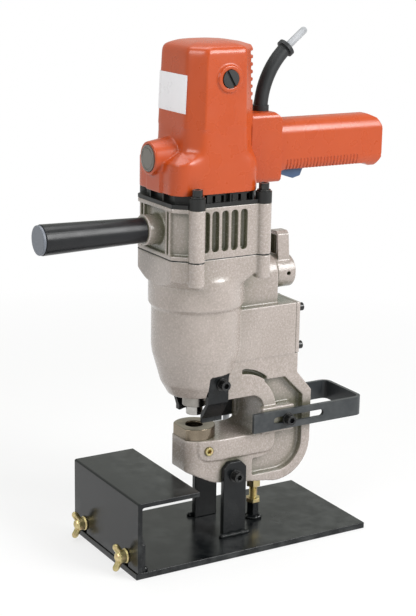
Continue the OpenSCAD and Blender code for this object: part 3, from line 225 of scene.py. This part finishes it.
def makeBlackPaint(name, level, roughness):
    look = {"paint": tint(level, level + 3, level + 6), "thin": tint(level + 4, level + 7, level + 9),
            "bare": tint(level + 50, level + 52, level + 52), "cloud": 16, "grain": 1400, "wear": 60,
            "rub": 0.7, "rough": (roughness, roughness + 0.08), "bump": 0.08, "depth": 0.15 * mm}
    f = Finish(name, {"Specular IOR Level": 0.32})
    cloud = f.noise(look["cloud"])
    grain = f.noise(look["grain"], 2)
    wear = f.noise(look["wear"], 4, 0.65)
    colour = f.blend(f.ramp(cloud, 0.35, 0.7), look["paint"], look["thin"])
    colour = f.blend(f.edges(0.53, 0.62) * f.ramp(wear, 0.4, 0.65) * look["rub"], colour, look["bare"])
    f.feed({"Base Color": colour, "Roughness": f.ramp(cloud, 0.3, 0.75, *look["rough"]),
            "Normal": f.bump(grain, look["bump"], look["depth"])})
    return f.material


def makeBlackOxide():
    look = {"oxide": tint(44, 45, 47), "worn": tint(96, 95, 92), "cloud": 160, "grain": 1500, "rub": 0.5,
            "rough": (0.18, 0.3), "bump": 0.1, "depth": 0.1 * mm}
    f = Finish("black_oxide", {"Metallic": 0.75})
    cloud = f.noise(look["cloud"], 3, 0.6)
    colour = f.blend(f.ramp(cloud, 0.5, 0.8, 0, 0.6), look["oxide"], look["worn"])
    colour = f.blend(f.edges(0.52, 0.6) * look["rub"], colour, look["worn"])
    f.feed({"Base Color": colour, "Roughness": f.ramp(cloud, 0.3, 0.7, *look["rough"]),
            "Normal": f.bump(f.noise(look["grain"], 2), look["bump"], look["depth"])})
    return f.material


def makeZinc():
    look = {"gold": tint(217, 199, 148), "green": tint(186, 174, 122), "rose": tint(224, 186, 154),
            "cloud": 170, "shift": 260, "drawn": (1, 1.3, 0.8), "grain": 900, "rough": (0.26, 0.42),
            "bump": 0.12, "depth": 0.1 * mm}
    f = Finish("yellow_zinc", {"Metallic": 0.85})
    cloud = f.noise(look["cloud"], 3, 0.55)
    shift = f.noise(look["shift"], 2, place=f.stretched(look["drawn"]))
    colour = f.blend(f.ramp(cloud, 0.35, 0.65), look["green"], look["gold"])
    colour = f.blend(f.ramp(shift, 0.55, 0.75), colour, look["rose"])
    f.feed({"Base Color": colour, "Roughness": f.ramp(shift, 0.3, 0.7, *look["rough"]),
            "Normal": f.bump(f.noise(look["grain"]), look["bump"], look["depth"])})
    return f.material


def makeSteel(name, bright, dull, rough):
    look = {"lay": 60, "drawn": (1, 1, 40), "cloud": 90, "rub": 0.5, "bump": 0.1, "depth": 0.05 * mm}
    f = Finish(name, {"Metallic": 1.0})
    lay = f.noise(look["lay"], 4, 0.6, f.stretched(look["drawn"]))
    cloud = f.noise(look["cloud"])
    colour = f.blend(f.ramp(cloud, 0.35, 0.7), bright, dull)
    f.feed({"Base Color": f.blend(f.edges(0.52, 0.6) * look["rub"], colour, bright),
            "Roughness": f.ramp(lay, 0.3, 0.7, *rough), "Normal": f.bump(lay, look["bump"], look["depth"])})
    return f.material


def makeToolSteel():
    look = {"steel": tint(126, 114, 98), "brown": tint(98, 86, 71), "bright": tint(178, 166, 148), "lay": 70,
            "drawn": (1, 1, 30), "stain": 75, "rough": (0.13, 0.26), "bump": 0.12, "depth": 0.06 * mm}
    f = Finish("oiled_tool_steel", {"Metallic": 0.9})
    lay = f.noise(look["lay"], 4, 0.6, f.stretched(look["drawn"]))
    stain = f.noise(look["stain"], 4, 0.6)
    colour = f.blend(f.ramp(stain, 0.38, 0.66), look["brown"], look["steel"])
    colour = f.blend(f.edges(0.52, 0.6), colour, look["bright"])
    f.feed({"Base Color": colour, "Roughness": f.ramp(stain, 0.3, 0.7, *look["rough"]),
            "Normal": f.bump(lay, look["bump"], look["depth"])})
    return f.material


def makeRubber(name, colour, pale, roughness=0.5):
    look = {"cloud": 34, "grain": 1300, "rough": (roughness - 0.07, roughness + 0.08), "bump": 0.15,
            "depth": 0.12 * mm}
    f = Finish(name, {"Specular IOR Level": 0.36})
    cloud = f.noise(look["cloud"], 4, 0.6)
    grain = f.noise(look["grain"], 2)
    f.feed({"Base Color": f.blend(f.ramp(cloud, 0.4, 0.75), colour, pale),
            "Roughness": f.ramp(cloud, 0.3, 0.7, *look["rough"]),
            "Normal": f.bump(grain, look["bump"], look["depth"])})
    return f.material


def makeMoulded(name, colour, pale, roughness=0.42):
    look = {"spark": 1000, "cloud": 45, "rough": (roughness - 0.06, roughness + 0.1), "bump": 0.22,
            "depth": 0.12 * mm}
    f = Finish(name, {})
    spark = f.noise(look["spark"], 2)
    cloud = f.noise(look["cloud"], 3, 0.6)
    f.feed({"Base Color": f.blend(f.ramp(cloud, 0.35, 0.7), colour, pale),
            "Roughness": f.ramp(cloud, 0.3, 0.7, *look["rough"]),
            "Normal": f.bump(spark, look["bump"], look["depth"])})
    return f.material


def makeLaminations():
    look = {"iron": tint(112, 106, 98), "gap": tint(58, 52, 46), "varnish": tint(120, 70, 40), "stack": 500,
            "uneven": 0.2, "drip": 80, "rough": (0.3, 0.55), "bump": 0.3, "depth": 0.1 * mm}
    f = Finish("varnished_laminations", {"Metallic": 0.5})
    stack = f.node("ShaderNodeTexWave", {"wave_type": "BANDS", "bands_direction": "Z"},
                   {"Vector": f.place, "Scale": look["stack"], "Distortion": look["uneven"]})
    drip = f.noise(look["drip"], 4, 0.6)
    colour = f.blend(f.ramp(stack, 0.2, 0.6), look["gap"], look["iron"])
    colour = f.blend(f.ramp(drip, 0.5, 0.7, 0, 0.7), colour, look["varnish"])
    f.feed({"Base Color": colour, "Roughness": f.ramp(drip, 0.3, 0.7, *look["rough"]),
            "Normal": f.bump(stack, look["bump"], look["depth"])})
    return f.material


def makeBronze():
    look = {"fresh": tint(190, 142, 78), "dull": tint(140, 98, 54), "lay": 70, "drawn": (1, 1, 30),
            "cloud": 80, "rough": (0.22, 0.38), "bump": 0.1, "depth": 0.05 * mm}
    f = Finish("bearing_bronze", {"Metallic": 1.0})
    lay = f.noise(look["lay"], 4, 0.6, f.stretched(look["drawn"]))
    cloud = f.noise(look["cloud"])
    f.feed({"Base Color": f.blend(f.ramp(cloud, 0.35, 0.7), look["fresh"], look["dull"]),
            "Roughness": f.ramp(lay, 0.3, 0.7, *look["rough"]),
            "Normal": f.bump(lay, look["bump"], look["depth"])})
    return f.material


finishes = {
    "grey_casting": makeHammertone(), "orange_plastic": makeOrangeShell(),
    "black_steel": makeBlackPaint("black_paint", 11, 0.2),
    "gauge_black": makeBlackPaint("gauge_paint", 54, 0.32),
    "weld_black": makeBlackPaint("painted_weld", 12, 0.13), "black_oxide": makeBlackOxide(),
    "zinc_plate": makeZinc(), "tool_steel": makeToolSteel(), "laminations": makeLaminations(),
    "bronze": makeBronze(),
    "steel": makeSteel("ground_steel", tint(186, 184, 180), tint(150, 147, 142), (0.12, 0.24)),
    "nut_steel": makeSteel("turned_steel", tint(158, 154, 148), tint(122, 118, 112), (0.24, 0.38)),
    "black_rubber": makeRubber("black_rubber", tint(34, 36, 38), tint(46, 48, 50)),
    "grip_rubber": makeRubber("polished_rubber", tint(20, 21, 24), tint(27, 28, 31), 0.3),
    "cord_rubber": makeRubber("grey_cord", tint(150, 152, 156), tint(176, 178, 182), 0.4),
    "black_plastic": makeMoulded("black_moulding", tint(13, 14, 14), tint(20, 21, 21)),
    "grey_plastic": makeMoulded("grey_moulding", tint(112, 108, 103), tint(122, 118, 113)),
    "cap_grey": makeMoulded("blue_grey_cap", tint(106, 110, 119), tint(117, 121, 130)),
    "brush_grey": makeMoulded("dark_grey_moulding", tint(27, 28, 29), tint(36, 37, 38)),
    "trigger_plastic": makeMoulded("blue_grey_moulding", tint(56, 78, 112), tint(66, 90, 124), 0.38),
    "blank_label": makeMoulded("blank_label", tint(240, 238, 242), tint(243, 241, 245), 0.3),
}
finishes["grey_aluminium"] = finishes["grey_casting"]
print("finishes made,", len(finishes))

# Mesh helpers. The angles, in degrees, past which an edge stays sharp, is rounded, or is part of a flat face.
sharpFrom = {"softened": 60, "broken": 40, "plain": 35}
roundFrom, flatTo = 30, 1
mergeGap = 4e-6


def boxOf(node):
    return [Vector(corner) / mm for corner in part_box(node)]


def cadCopy(node):
    bm = bmesh.new()
    bm.from_mesh(nodes[node].data)
    bmesh.ops.remove_doubles(bm, verts=bm.verts, dist=mergeGap)
    return bm


def addPiece(name, bm, body, slot, stands=(), angle=sharpFrom["plain"], finish=None):
    for face in bm.faces:
        face.smooth = True
    mesh = bpy.data.meshes.new(name)
    bm.to_mesh(mesh)
    bm.free()
    mesh.set_sharp_from_angle(angle=math.radians(angle))
    mesh.materials.append(finishes[finish or slot])
    piece = bpy.data.objects.new(name, mesh)
    scene.collection.objects.link(piece)
    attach(piece, body)
    if stands:
        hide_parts(*stands)
    return piece


# a piece in place of one node
def dressNode(node, bm, angle, finish=None):
    return addPiece(node + "_finished", bm, bodyOf[node], slotOf[node], [node], angle, finish)


def steadyNormals(piece):
    steady = piece.modifiers.new("steady_normals", "WEIGHTED_NORMAL")
    steady.keep_sharp = True


def joinFlats(bm):
    bmesh.ops.dissolve_limit(bm, angle_limit=math.radians(flatTo), verts=bm.verts, edges=bm.edges)


def sharpEdges(bm):
    return [e for e in bm.edges if len(e.link_faces) == 2 and e.calc_face_angle() > math.radians(roundFrom)]


def roundEdges(bm, edges, width, segments):
    bmesh.ops.bevel(bm, geom=edges, offset=width * mm, offset_type="OFFSET", segments=segments, profile=0.5,
                    affect="EDGES", clamp_overlap=True, material=-1)


# a copy of a node with its edges broken, as paint and tumbling leave them
def breakEdges(node, width, segments=2, finish=None):
    bm = cadCopy(node)
    joinFlats(bm)
    roundEdges(bm, sharpEdges(bm), width, segments)
    steadyNormals(dressNode(node, bm, sharpFrom["broken"], finish))


def settled(holder):
    return bpy.data.meshes.new_from_object(holder.evaluated_get(bpy.context.evaluated_depsgraph_get()))


# joins what overlaps into one skin and relaxes it, with fewer faces where there are too many
def fuse(bm, voxel, passes, mostFaces=190000):
    rough = bpy.data.meshes.new("rough")
    bm.to_mesh(rough)
    bm.free()
    holder = bpy.data.objects.new("rough", rough)
    scene.collection.objects.link(holder)
    remesh = holder.modifiers.new("remesh", "REMESH")
    remesh.mode, remesh.voxel_size = "VOXEL", voxel * mm
    relax = holder.modifiers.new("relax", "SMOOTH")
    relax.factor, relax.iterations = 0.5, passes
    soft = settled(holder)
    count = 2 * len(soft.polygons)  # the skin is of quads
    if count > mostFaces:
        thin = holder.modifiers.new("thin", "DECIMATE")
        thin.ratio = mostFaces / count
        bpy.data.meshes.remove(soft)
        soft = settled(holder)
    bpy.data.objects.remove(holder)
    joined = bmesh.new()
    joined.from_mesh(soft)
    bpy.data.meshes.remove(soft)
    return joined


# relaxes only the points inside a box in millimetres
def relaxIn(bm, low, high, passes):
    inside = [v for v in bm.verts if all(a <= c / mm <= b for a, c, b in zip(low, v.co, high))]
    for step in range(passes):
        bmesh.ops.smooth_vert(bm, verts=inside, factor=0.5, use_axis_x=True, use_axis_y=True, use_axis_z=True)


# a copy of a node with every edge and corner softened, as in a casting or moulding, and more so in its zones
def softenBody(node, voxel, passes=4, zones=()):
    bm = fuse(cadCopy(node), voxel, passes)
    for low, high, more in zones:
        relaxIn(bm, low, high, more)
    print(node, "softened, faces:", len(bm.faces))
    dressNode(node, bm, sharpFrom["softened"])


# a round blob for fusing, drawn out by the three factors
def addBlob(bm, at, radius, stretch=(1, 1, 1)):
    shape = Matrix.Translation(Vector(at) * mm) @ Matrix.Diagonal((*stretch, 1))
    bmesh.ops.create_icosphere(bm, subdivisions=2, radius=radius * mm, matrix=shape)


# a grid of quads, with column j of row i where place puts it
def layGrid(bm, columns, rows, place):
    made = bmesh.ops.create_grid(bm, x_segments=columns, y_segments=rows, size=0.5)
    for v in made["verts"]:
        v.co = place(round((v.co.x + 0.5) * columns), round((v.co.y + 0.5) * rows))
    return made["verts"]


# a round tube along points in millimetres, closed at both ends
def addTube(bm, points, radius, sides):
    def place(j, i):
        ahead = (points[min(i + 1, len(points) - 1)] - points[max(i - 1, 0)]).normalized()
        out = ahead.cross(Vector((0, 0, 1))).normalized()
        turn = math.tau * j / sides
        return (points[i] + (out * math.cos(turn) + out.cross(ahead) * math.sin(turn)) * radius) * mm

    skin = layGrid(bm, sides, len(points) - 1, place)
    bmesh.ops.remove_doubles(bm, verts=skin, dist=mergeGap)
    bmesh.ops.holes_fill(bm, edges=[e for e in bm.edges if e.is_boundary])
    bmesh.ops.recalc_face_normals(bm, faces=bm.faces)


# Cord first: a loop above the guard, a fall behind the machine, a bend on to the bench, and the coil.
cordLook = {"diameter": 7 * mm, "exit": (93.429, 0, 468.509), "lean": 51, "lead": 4, "loopRadius": 29,
            "loopSide": (0.28, 0.895, -0.346), "pull": 30, "drop": (96, 98), "dropTop": 180, "settle": 80,
            "bendRadius": 31, "floor": 3.6, "coilCentre": (144, 145), "coilRadius": 47, "pitch": 7.6,
            "layerTurns": 2.375, "climbTurns": 0.5, "perTurn": 24, "runIn": 7, "tail": 13, "arcStep": 15,
            "fallSteps": 14, "plumbStep": 20, "tailSteps": 3, "roundness": 4}


def cubic(a, b, c, d, t):
    return a * (1 - t) ** 3 + b * 3 * t * (1 - t) ** 2 + c * 3 * t * t * (1 - t) + d * t ** 3


def coilTurns(c):
    return 2 * c["layerTurns"] + c["climbTurns"]


def coilPoint(c, t):
    r = c["coilRadius"] - c["pitch"] * min(t, coilTurns(c) - t)
    a = math.radians(360 * t - 90)
    climb = min(1, max(0, (t - c["layerTurns"]) / c["climbTurns"]))
    return Vector((c["coilCentre"][0] + r * math.cos(a), c["coilCentre"][1] + r * math.sin(a),
                   c["floor"] + c["pitch"] * climb))


def cordRoute(c):
    lean = math.radians(c["lean"])
    along = Vector((math.sin(lean), 0, math.cos(lean)))
    side = Vector(c["loopSide"]).normalized()
    start = Vector(c["exit"])
    x, y = c["drop"]
    route = [start]
    for a in range(0, 181, c["arcStep"]):
        t = math.radians(a)
        route.append(start + along * (c["lead"] + c["loopRadius"] * math.sin(t))
                     + side * c["loopRadius"] * (1 - math.cos(t)))
    end = route[-1]
    foot = Vector((x, y, c["dropTop"]))
    for i in range(1, c["fallSteps"] + 1):
        route.append(cubic(end, end - along * c["pull"], foot + Vector((0, 0, c["settle"])), foot,
                           i / c["fallSteps"]))
    bend = c["floor"] + c["bendRadius"]
    step = c["plumbStep"]
    route += [Vector((x, y, z)) for z in range(c["dropTop"] - step, int(bend + step / 2), -step)]
    for a in range(0, 91, c["arcStep"]):
        t = math.radians(a)
        route.append(Vector((x + c["bendRadius"] * (1 - math.cos(t)), y,
                             bend - c["bendRadius"] * math.sin(t))))
    coil = [coilPoint(c, i / c["perTurn"]) for i in range(int(c["perTurn"] * coilTurns(c)) + 1)]
    route.append(coil[0] - Vector((c["runIn"], 0, 0)))
    route += coil
    route += [coil[-1] + Vector((0, c["tail"] * (k + 1) / c["tailSteps"], 0)) for k in range(c["tailSteps"])]
    return [point * mm for point in route]


def makeCord(c):
    route = cordRoute(c)
    data = bpy.data.curves.new("lead", "CURVE")
    data.dimensions = "3D"
    data.bevel_depth, data.bevel_resolution = c["diameter"] / 2, c["roundness"]
    data.use_fill_caps = True
    line = data.splines.new("POLY")
    line.points.add(len(route) - 1)
    for point, at in zip(line.points, route):
        point.co = (*at, 1)
    line.use_smooth = True
    data.materials.append(finishes["cord_rubber"])
    lead = bpy.data.objects.new("lead", data)
    scene.collection.objects.link(lead)
    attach(lead, bodyOf["power_cord"])
    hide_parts("power_cord", "cord_coil")
    length = sum((b - a).length for a, b in zip(route, route[1:]))
    return lead, route, length


lead, leadRoute, leadLength = makeCord(cordLook)
print("cord laid, metres:", round(leadLength, 3))

# Castings and mouldings, softened all over: the voxel of each in millimetres.
softened = {"pump_case": 0.7, "release_lever": 0.6, "rear_cover": 0.7, "handle_right_half": 0.5,
            "handle_left_half": 0.5}
for node, voxel in softened.items():
    softenBody(node, voxel)

# Motor housing: the rim of its dome, its corners and its skirt are rounder than the rest.
shellLook = {"voxel": 0.85, "passes": 5, "wide": 60, "rim": 13, "rimBack": 40, "rimPasses": 10,
             "front": -30, "half": 36.8, "back": 24, "foot": 376, "cornerPasses": 36, "skirt": (367, 402),
             "skirtPasses": 60}


def shellZones(w):
    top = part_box("motor_housing")[1][2] / mm
    wide, half = w["wide"], w["half"]
    return [((-wide, -wide, top - w["rim"]), (w["rimBack"], wide, top + 1), w["rimPasses"]),
            ((w["front"], -half, w["foot"]), (w["back"], half, top + 1), w["cornerPasses"]),
            ((w["front"], -wide, w["skirt"][0]), (wide, wide, w["skirt"][1]), w["skirtPasses"])]


softenBody("motor_housing", shellLook["voxel"], shellLook["passes"], shellZones(shellLook))

# Frame casting: the shoulders under the flange blend into the round body.
shoulderLook = {"voxel": 0.95, "x": (-18, 34), "near": 28, "far": 60, "z": (250, 274), "passes": 40}


def shoulderZones(w):
    (front, back), (foot, top) = w["x"], w["z"]
    return [((front, y0, foot), (back, y1, top), w["passes"])
            for y0, y1 in ((-w["far"], -w["near"]), (w["near"], w["far"]))]


softenBody("frame_casting", shoulderLook["voxel"], zones=shoulderZones(shoulderLook))
print("castings and mouldings softened")

# Plates, pins and fasteners with broken edges: the width of each in millimetres. A wide one takes more steps.
plates = {"base_plate": 0.6, "right_lug": 0.8, "left_lug": 0.8, "front_upstand": 0.6, "jack_post": 0.5,
          "work_rest": 0.6, "right_stripper": 0.7, "left_stripper": 0.7}
turned = {"die": 0.5, "die_set_screw": 0.4, "punch": 0.25, "jack_lock_nut": 0.5, "front_plug": 0.4,
          "trigger": 1.6, "cord_guard": 0.7, "plug": 1.0}
painted = {"gauge_strap": (0.5, "gauge_black"), "punch_nut": (0.6, "nut_steel"),
           "brush_caps": (0.4, "brush_grey"), "side_grip_cap": (0.8, "cap_grey"),
           "side_grip_sleeve": (0.6, "grip_rubber"),
           "cap_screws": (0.3, "black_oxide"), "housing_bolts": (0.3, "black_oxide"),
           "rear_cover_screws": (0.3, "black_oxide"), "adapter_ring": (0.3, "black_plastic")}
wideEdge = 0.55
for node, width in {**plates, **turned}.items():
    breakEdges(node, width, 3 if width > wideEdge else 2)
for node, (width, finish) in painted.items():
    breakEdges(node, width, finish=finish)
print("plates and fasteners finished")

# Weld beads: overlapping drops along each joint, fused into one rippled bead.
weldLook = {"radius": 3.1, "step": 3.1, "sink": 0.9, "sway": 0.075, "swayTurn": 2.3, "swell": 0.2,
            "swellTurn": 1.9, "swellStart": 0.6, "overrun": 1.5, "inset": 4, "postDrops": 18,
            "postSwell": 0.12, "postTurn": 2.6, "voxel": 0.4, "passes": 1}


def weldRow(bm, start, end, w):
    start, end = Vector(start), Vector(end)
    count = max(2, round((end - start).length / w["step"]))
    for k in range(count + 1):
        at = start.lerp(end, k / count) + Vector((0, 0, w["sway"] * math.sin(w["swayTurn"] * k)))
        addBlob(bm, at, w["radius"] * (1 + w["swell"] * math.sin(w["swellTurn"] * k + w["swellStart"])))


def weldRound(bm, centre, reach, w):
    for k in range(w["postDrops"]):
        t = math.tau * k / w["postDrops"]
        at = (centre[0] + reach * math.cos(t), centre[1] + reach * math.sin(t), centre[2])
        addBlob(bm, at, w["radius"] * (1 + w["postSwell"] * math.sin(w["postTurn"] * k)))


def makeWelds(w):
    bm = bmesh.new()
    sink = w["sink"]
    floor = boxOf("base_plate")[1].z + sink
    for lug, side in (("right_lug", -1), ("left_lug", 1)):
        low, high = boxOf(lug)
        y = (low.y if side < 0 else high.y) + side * sink
        weldRow(bm, (low.x - w["overrun"], y, floor), (high.x + w["overrun"], y, floor), w)
    low, high = boxOf("front_upstand")
    weldRow(bm, (high.x + sink, low.y + w["inset"], floor), (high.x + sink, high.y - w["inset"], floor), w)
    low, high = boxOf("jack_post")
    middle = (low + high) / 2
    weldRound(bm, (middle.x, middle.y, floor), (high.y - low.y) / 2 + sink, w)
    dressNode("weld_beads", fuse(bm, w["voxel"], w["passes"]), sharpFrom["softened"], "weld_black")


makeWelds(weldLook)

# Wing bolts: thick rounded ears grown over the plain ones.
wingLook = {"hub": 4.8, "hubIn": 6.5, "hubWide": 1.15, "ear": 2.5, "tip": 2.8, "inset": 0.4, "root": 2.5,
            "over": 0.1, "deep": 1.1, "flat": 0.85, "lean": 5.0, "curl": 1.4, "steps": 12, "voxel": 0.36,
            "passes": 4}


def makeWingBolt(node, w):
    bm = cadCopy(node)
    low, high = boxOf(node)
    middle = (low + high) / 2
    reach = (high.z - low.z) / 2 - w["tip"] + w["over"] - w["root"]
    for side in (1, -1):
        for k in range(w["steps"] + 1):
            t = k / w["steps"]
            radius = w["ear"] + (w["tip"] - w["ear"]) * t ** 2
            x = low.x + w["inset"] + w["tip"] + w["lean"] * (1 - t ** w["curl"])
            z = middle.z + side * (w["root"] + reach * t)
            addBlob(bm, (x, middle.y, z), radius, (w["deep"], w["flat"], 1))
    addBlob(bm, (low.x + w["hubIn"], middle.y, middle.z), w["hub"], (1.0, w["hubWide"], w["hubWide"]))
    dressNode(node, fuse(bm, w["voxel"], w["passes"]), sharpFrom["softened"])


for node in ("right_wing_bolt", "left_wing_bolt"):
    makeWingBolt(node, wingLook)

# Jack bolt: its head with broken edges, and a rolled thread round the shank, which shrinks to its core.
threadLook = {"pitch": 1.25, "deep": 0.72, "flank": 2.4, "crest": 0.1, "around": 48, "perTurn": 8,
              "headLeast": 2, "headEdge": 0.6, "headSteps": 3, "near": 0.1, "slack": 0.05}


def makeJackBolt(node, w):
    bm = cadCopy(node)
    low, high = boxOf(node)
    middle = (low + high) / 2

    def fromAxis(v):
        return Vector((v.co.x / mm - middle.x, v.co.y / mm - middle.y))

    shank = min(fromAxis(v).length for v in bm.verts if v.co.z / mm < low.z + w["near"])
    top = max(v.co.z / mm for v in bm.verts if v.co.z / mm < high.z - w["headLeast"])
    joinFlats(bm)
    rim = [e for e in sharpEdges(bm) if max(v.co.z for v in e.verts) / mm > high.z - w["near"]]
    roundEdges(bm, rim, w["headEdge"], w["headSteps"])
    for v in bm.verts:
        out = fromAxis(v)
        if out.length < shank + w["slack"]:
            v.co.xy = (middle.xy + out * (1 - w["deep"] / shank)) * mm
    rows = int((top - low.z) / w["pitch"] * w["perTurn"])

    def place(j, i):
        z = low.z + (top - low.z) * i / rows
        phase = (z / w["pitch"] - j / w["around"]) % 1
        r = shank - w["deep"] * min(1, max(0, w["flank"] * abs(phase - 0.5) - w["crest"]))
        t = math.tau * j / w["around"]
        return Vector((middle.x + r * math.cos(t), middle.y + r * math.sin(t), z)) * mm

    thread = layGrid(bm, w["around"], rows, place)
    bmesh.ops.remove_doubles(bm, verts=thread, dist=mergeGap)
    bmesh.ops.recalc_face_normals(bm, faces=bm.faces)
    steadyNormals(dressNode(node, bm, sharpFrom["broken"]))


makeJackBolt("jack_bolt", threadLook)

# Return spring: round wire with closed ends.
springLook = {"wire": 2.0, "turns": 6, "closed": 0.75, "closedPitch": 2.04, "perTurn": 24, "sides": 12,
              "joint": "ram_slide", "travel": 14}


def makeSpring(w):
    node = "return_spring"
    low, high = boxOf(node)
    radius = (high.x - low.x) / 2 - w["wire"]
    start, end = low.z + w["wire"], high.z - w["wire"]
    turns, closed = w["turns"], w["closed"]
    rise = closed * w["wire"] * w["closedPitch"]
    points = []
    for k in range(turns * w["perTurn"] + 1):
        t = k / w["perTurn"]
        if t < closed:
            z = start + rise * t / closed
        elif t > turns - closed:
            z = end - rise * (turns - t) / closed
        else:
            z = start + rise + (end - start - 2 * rise) * (t - closed) / (turns - 2 * closed)
        points.append(Vector((radius * math.cos(math.tau * t), radius * math.sin(math.tau * t), z)))
    bm = bmesh.new()
    addTube(bm, points, w["wire"], w["sides"])
    spring = addPiece(node + "_wire", bm, bodyOf[node], slotOf[node], [node], sharpFrom["softened"])
    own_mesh(spring)


makeSpring(springLook)

# Blank label: a thin sheet laid on the front of the motor housing.
labelLook = {"y": (-25, 25), "z": (415, 449), "columns": 40, "rows": 30, "before": -200, "passes": 24,
             "lift": 0.12, "thick": 0.15}


def makeLabel(w):
    shell = bpy.data.objects["motor_housing_finished"].data
    tree = BVHTree.FromPolygons([v.co for v in shell.vertices], [p.vertices for p in shell.polygons])

    def place(j, i):
        y = w["y"][0] + (w["y"][1] - w["y"][0]) * j / w["columns"]
        z = w["z"][0] + (w["z"][1] - w["z"][0]) * i / w["rows"]
        hit = tree.ray_cast(Vector((w["before"], y, z)) * mm, Vector((1, 0, 0)))[0]
        return hit - Vector((w["lift"] * mm, 0, 0))

    bm = bmesh.new()
    layGrid(bm, w["columns"], w["rows"], place)
    for step in range(w["passes"]):
        bmesh.ops.smooth_vert(bm, verts=bm.verts, factor=0.5, use_axis_x=True)
    bmesh.ops.recalc_face_normals(bm, faces=bm.faces)
    if sum(face.normal.x for face in bm.faces) > 0:
        bmesh.ops.reverse_faces(bm, faces=bm.faces)
    bmesh.ops.solidify(bm, geom=bm.faces[:], thickness=-w["thick"] * mm)
    bmesh.ops.recalc_face_normals(bm, faces=bm.faces)
    addPiece("front_label", bm, bodyOf["motor_housing"], None, (), sharpFrom["broken"], "blank_label")


makeLabel(labelLook)
print("welds, wing bolts, thread, spring and label made")

# Everything that still shows its own solid takes its slot's finish.
for name, node in nodes.items():
    if not node.hide_render:
        node.data.materials.clear()
        node.data.materials.append(finishes[slotOf[name]])

# Tie round the coil.
tieLook = {"radius": 35.6, "half": 11.7, "width": 9, "top": 15.6, "foot": 1.5, "thick": 1.2, "around": 32,
           "squareness": 0.45}


def makeTie(c, t):
    centre = Vector((c["coilCentre"][0] - t["radius"], c["coilCentre"][1], t["top"] / 2)) * mm
    bm = bmesh.new()
    made = bmesh.ops.create_circle(bm, cap_ends=False, radius=1, segments=t["around"])
    for v in made["verts"]:
        sx, sy = (math.copysign(abs(k) ** t["squareness"], k) for k in v.co.xy)
        v.co = centre + Vector((sx * t["half"], -t["width"] / 2, sy * t["top"] / 2)) * mm
        v.co.z = max(v.co.z, t["foot"] * mm)
    made = bmesh.ops.extrude_edge_only(bm, edges=bm.edges[:])
    far = [v for v in made["geom"] if isinstance(v, bmesh.types.BMVert)]
    bmesh.ops.translate(bm, vec=(0, t["width"] * mm, 0), verts=far)
    bmesh.ops.recalc_face_normals(bm, faces=bm.faces)
    bmesh.ops.solidify(bm, geom=bm.faces[:], thickness=-t["thick"] * mm)
    bmesh.ops.recalc_face_normals(bm, faces=bm.faces)
    return addPiece("lead_tie", bm, bodyOf["cord_coil"], "black_rubber")


tie = makeTie(cordLook, tieLook)
tuple(leadRoute[0])

# Floor, backdrop and light. The floor glows more with the distance, and shiny faces see less of the backdrop.
studio = {"floorSize": 6, "floorDrop": 0.5 * mm, "floorColour": (0.9, 0.9, 0.9, 1), "floorRough": 0.9,
          "floorSpecular": 0.1, "fade": (0.55, 1.0), "glow": (0.72, 1.0), "worldLight": 0.28,
          "worldShine": 0.55, "shade": (0.94, 0.97, 0.9, 1), "white": (1, 1, 1, 1)}
lamps = {"key": {"at": (1.0, -1.5, 1.3), "aim": (0, 0, 0.25), "size": (0.9, 1.2), "power": 40},
         "fill": {"at": (-0.75, -0.3, 0.85), "aim": (0, 0, 0.42), "size": (0.4, 0.4), "power": 3.6},
         "top": {"at": (0.1, 0.2, 1.9), "aim": (0, 0, 0.3), "size": (1.2, 1.2), "power": 14}}


def makeFloor(s):
    bm = bmesh.new()
    bmesh.ops.create_grid(bm, x_segments=2, y_segments=2, size=s["floorSize"] / 2)
    mesh = bpy.data.meshes.new("floor")
    bm.to_mesh(mesh)
    bm.free()
    floor = bpy.data.objects.new("floor", mesh)
    floor.location.z = -s["floorDrop"]
    scene.collection.objects.link(floor)
    f = Finish("pale_floor", {"Base Color": s["floorColour"], "Roughness": s["floorRough"],
                              "Specular IOR Level": s["floorSpecular"]})
    away = f.node("ShaderNodeVectorMath", {"operation": "LENGTH"}, {0: f.place}, out="Value")
    share = f.ramp(away, *s["fade"], *s["glow"]) * f.seen(1)
    glow = f.node("ShaderNodeEmission", inputs={"Color": s["white"], "Strength": 1.0})
    mixed = f.node("ShaderNodeMixShader", inputs={0: share, 1: Wire(f.tree, f.shader.outputs[0]), 2: glow})
    plugIn(f.tree, f.tree.nodes["Material Output"].inputs["Surface"], mixed)
    mesh.materials.append(f.material)


def makeWorld(s):
    world = bpy.data.worlds.new("studio")
    world.use_nodes = True
    g = Graph(world.node_tree)
    straight = g.node("ShaderNodeLightPath", out="Is Camera Ray")
    backdrop = g.tree.nodes["Background"].inputs
    plugIn(g.tree, backdrop["Color"], g.blend(straight, s["shade"], s["white"]))
    plugIn(g.tree, backdrop["Strength"], g.seen(s["worldShine"]) * (1 - s["worldLight"]) + s["worldLight"])
    scene.world = world


def addLamp(name, at, aim, size, power):
    data = bpy.data.lights.new(name, "AREA")
    data.shape, data.energy = "RECTANGLE", power
    data.size, data.size_y = size
    lamp = bpy.data.objects.new(name, data)
    lamp.location = at
    lamp.rotation_euler = (Vector(aim) - Vector(at)).to_track_quat("-Z", "Y").to_euler()
    scene.collection.objects.link(lamp)


makeFloor(studio)
makeWorld(studio)
for name, lamp in lamps.items():
    addLamp(name, **lamp)
scene.view_settings.view_transform = "Standard"

print("scene done")
